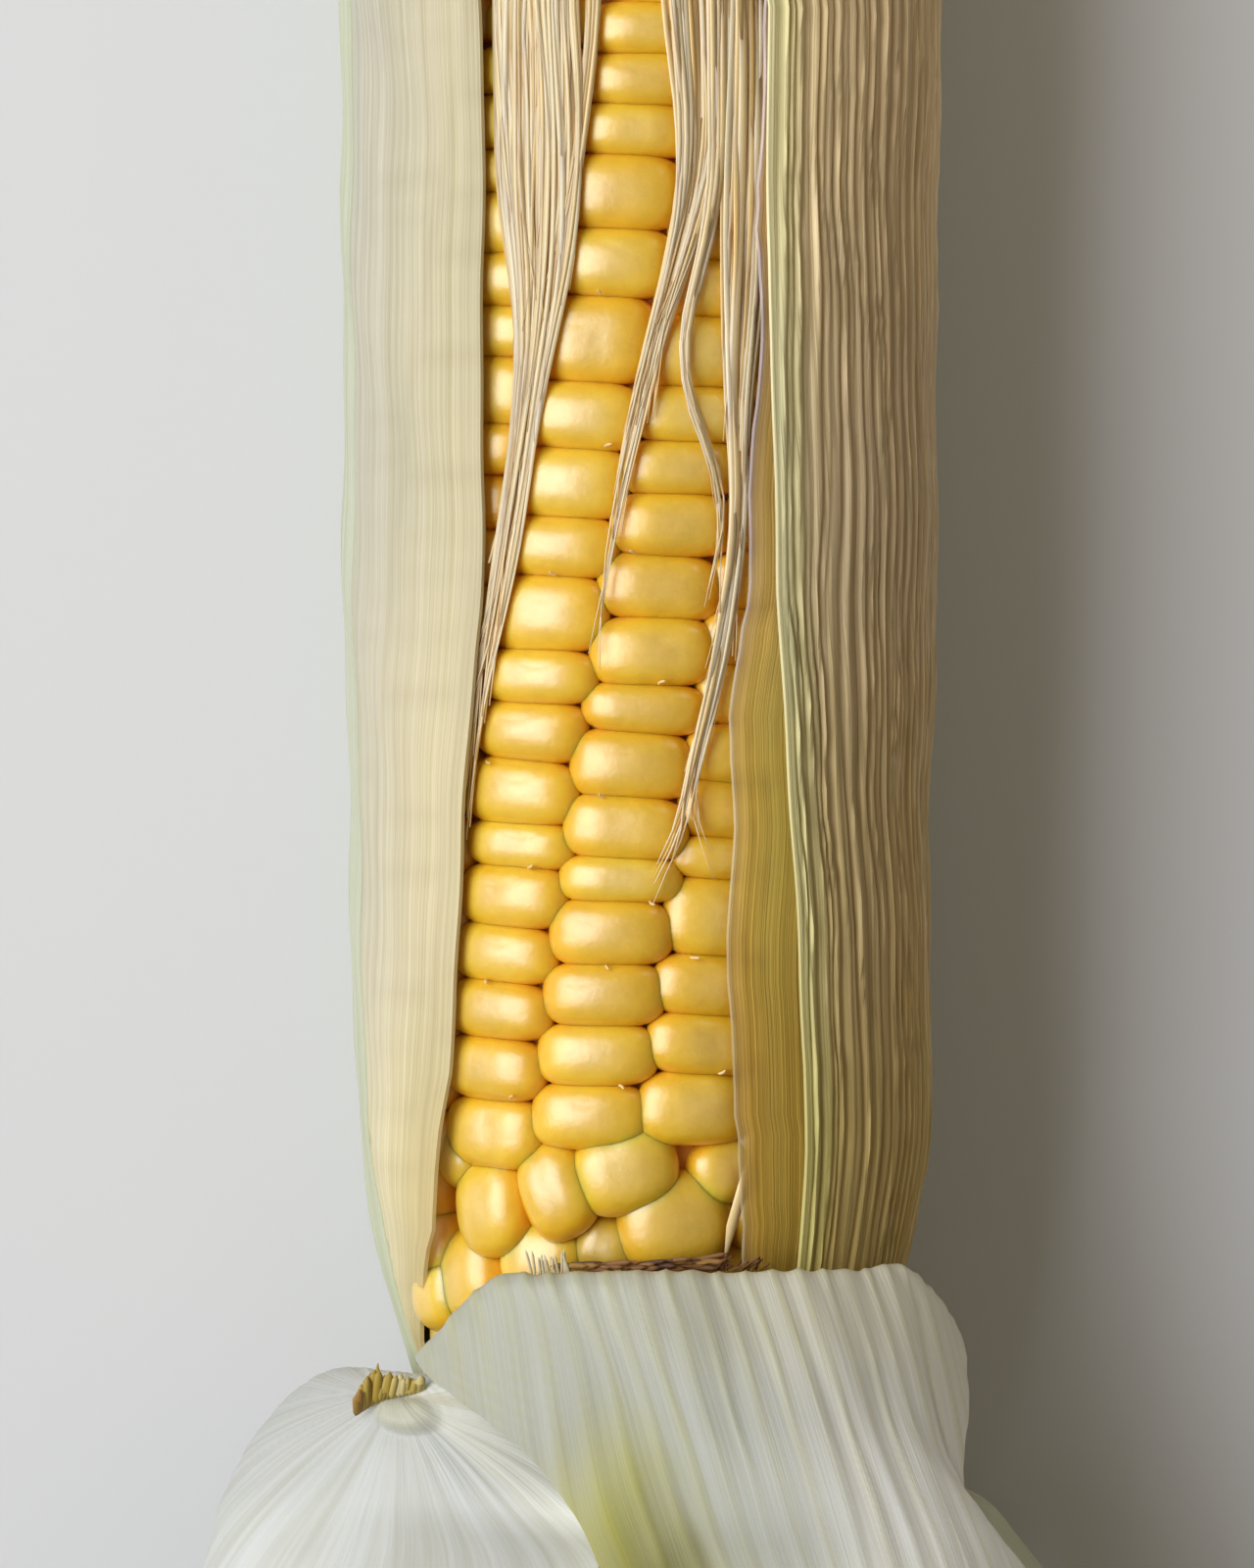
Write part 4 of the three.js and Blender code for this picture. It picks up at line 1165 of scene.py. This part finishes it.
# The torn tip's foot and its ragged end, as lines of places (share, x, s) in mm.
TORN_FOOT = [(0.0, -21.1, -3.5), (0.35, -20.2, -2.9), (0.6, -19.0, -2.3), (1.0, -16.2, -1.7)]
TORN_END = [(0.0, -21.3, -2.4), (0.2, -20.7, -1.4), (0.36, -20.1, -0.8), (0.44, -19.6, 0.2),
            (0.5, -19.3, -0.7), (0.75, -17.9, -0.7), (1.0, -16.2, -1.0)]
TORN_STRIPS = 26
torn_tip = Gatherer()
for n in range(TORN_STRIPS):
    t = n / (TORN_STRIPS - 1)
    foot_x, foot_s = (line_through(column(TORN_FOOT, k), t) for k in (1, 2))
    end_x, end_s = (line_through(column(TORN_END, k), t) for k in (1, 2))
    strip(torn_tip, (foot_x, foot_s - 0.2, 16.7 + 0.6 * t),
          (end_x + 0.3 * draw(n + 80), end_s + 0.5 * draw(n), 17.4 + 0.5 * draw(n + 70)),
          mix(0.35, 0.7, draw(n + 85)), clamp(mix(0.42, 0.85, t) + 0.3 * (draw(n + 90) - 0.5)),
          (0.0, 0.0, 0.25))
torn_tip.build("husk_torn_tip", torn_skin, "husk_tan")

# Brown papery chaff, a few pale fibres at its left end and dark bristles at its right end.
FLAKES = 46
FIBRES = 14
BRISTLES = 14
chaff = Gatherer()
for n in range(FLAKES):
    x = -5.4 + 0.25 * n + 0.4 * draw(n + 110)
    s = 7.2 + 0.6 * draw(n + 120) + 0.02 * max(0.0, x) ** 1.6
    strip(chaff, (x - 1.4, s, 17.9), (x + 1.4, s + 0.9 * (draw(n + 130) - 0.3), 18.5 + 0.6 * draw(n + 140)),
          mix(0.22, 0.5, draw(n + 150)), mix(0.0, 0.55, draw(n + 160)), (0.0, 0.15 * draw(n + 165), 0.1))
for n in range(FIBRES):
    x = -7.8 + 0.22 * n
    strip(chaff, (x, 6.9, 18.2), (x + 0.9 * (draw(n + 170) - 0.7), 8.3 + 0.9 * draw(n + 180), 18.8),
          0.20, 0.97)
for n in range(BRISTLES):
    x = 5.8 + 0.26 * n
    strip(chaff, (x, 7.3, 18.4), (x + 1.8 * (draw(n + 190) - 0.2), 8.0 + 0.9 * draw(n + 200), 19.2),
          0.15, 0.25 * draw(n + 210))
chaff.build("husk_chaff", torn_skin, "husk_tan")


# Shank.
# The stalk that the ear grew on is pale green and fibrous, with a ring where a leaf grew, cut off
# below the husk. It is turned from a cylinder, with its fibres in the shading.
shank_skin = Skin("shank_skin")
fibre = shank_skin.grain(1.0, 4.0, 0.6, (1500, 60, 1500))
shank_skin.finish(
    shank_skin.coloured(fibre, [(0.3, (0.38, 0.42, 0.19)), (0.5, (0.55, 0.58, 0.33)),
                                (0.7, (0.68, 0.68, 0.45))]),
    {"Roughness": 0.55},
    shank_skin.raised(fibre, 0.4, 0.0004),
)
SHANK_OUTLINE = [(-33, 8.2), (-32.7, 8.5), (-32, 8.7), (-28, 8.7), (-26.5, 9.3), (-25, 9.3),
                 (-23.5, 8.8), (-14, 9.9), (-4, 9.3), (-1.6, 8.6), (-1.2, 8.2)]


def fluted(angle, s):
    """The shank's radius, with its shallow flutes."""
    turn = math.radians(angle)
    return line_through(SHANK_OUTLINE, s) + (0.10 * math.sin(turn * 17) + 0.05 * math.sin(turn * 41))


stalk = turned_spindle("shank_stalk", 64, 48, SHANK_OUTLINE[0][0], SHANK_OUTLINE[-1][0], fluted)
bpy.ops.object.shade_smooth_by_angle(angle=math.radians(50))
stalk.data.materials.append(shank_skin.material)
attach(stalk, "root")
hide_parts("shank")


# Surface, light and camera.
# A plain pale surface lit by one broad soft light on the left, so that the ear's shadow falls to the
# right, and by a small faint one on the right. The camera looks straight down.
surface_skin = Skin("surface")
surface_skin.shader.inputs["Base Color"].default_value = (0.70, 0.70, 0.715, 1)
surface_skin.shader.inputs["Roughness"].default_value = 0.8
bpy.ops.mesh.primitive_plane_add(size=4)
floor = bpy.context.object
floor.name = "surface"
floor.data.materials.append(surface_skin.material)

world = bpy.data.worlds.new("soft_room")
bpy.context.scene.world = world
world.use_nodes = True
background = world.node_tree.nodes["Background"]
background.inputs["Color"].default_value = (1.0, 0.88, 0.69, 1)
background.inputs["Strength"].default_value = 0.20


def square_light(name, place, target, width, power, colour):
    light = bpy.data.lights.new(name, "AREA")
    light.shape = "RECTANGLE"
    light.size, light.size_y = width, width
    light.energy = power
    light.color = colour
    obj = bpy.data.objects.new(name, light)
    bpy.context.collection.objects.link(obj)
    obj.location = place
    obj.rotation_euler = (Vector(target) - Vector(place)).to_track_quat("-Z", "Y").to_euler()


square_light("window", (-0.50, 0.06, 0.58), (0.0, -0.04, 0.02), 0.62, 6.9, (0.94, 0.965, 1.0))
square_light("bounce", (0.13, 0.11, 0.12), (0.05, 0.02, 0.0), 0.06, 0.03, (1.0, 0.90, 0.76))

lens = bpy.data.cameras.new("camera")
lens.sensor_width = 36.0
lens.lens = 154.1
lens.clip_start = 0.01
camera = bpy.data.objects.new("camera", lens)
bpy.context.collection.objects.link(camera)
camera.location = (-0.00073, -0.0462, 0.5442)
camera.rotation_euler = (0, 0, 0)
bpy.context.scene.camera = camera
bpy.context.scene.view_settings.view_transform = "Standard"
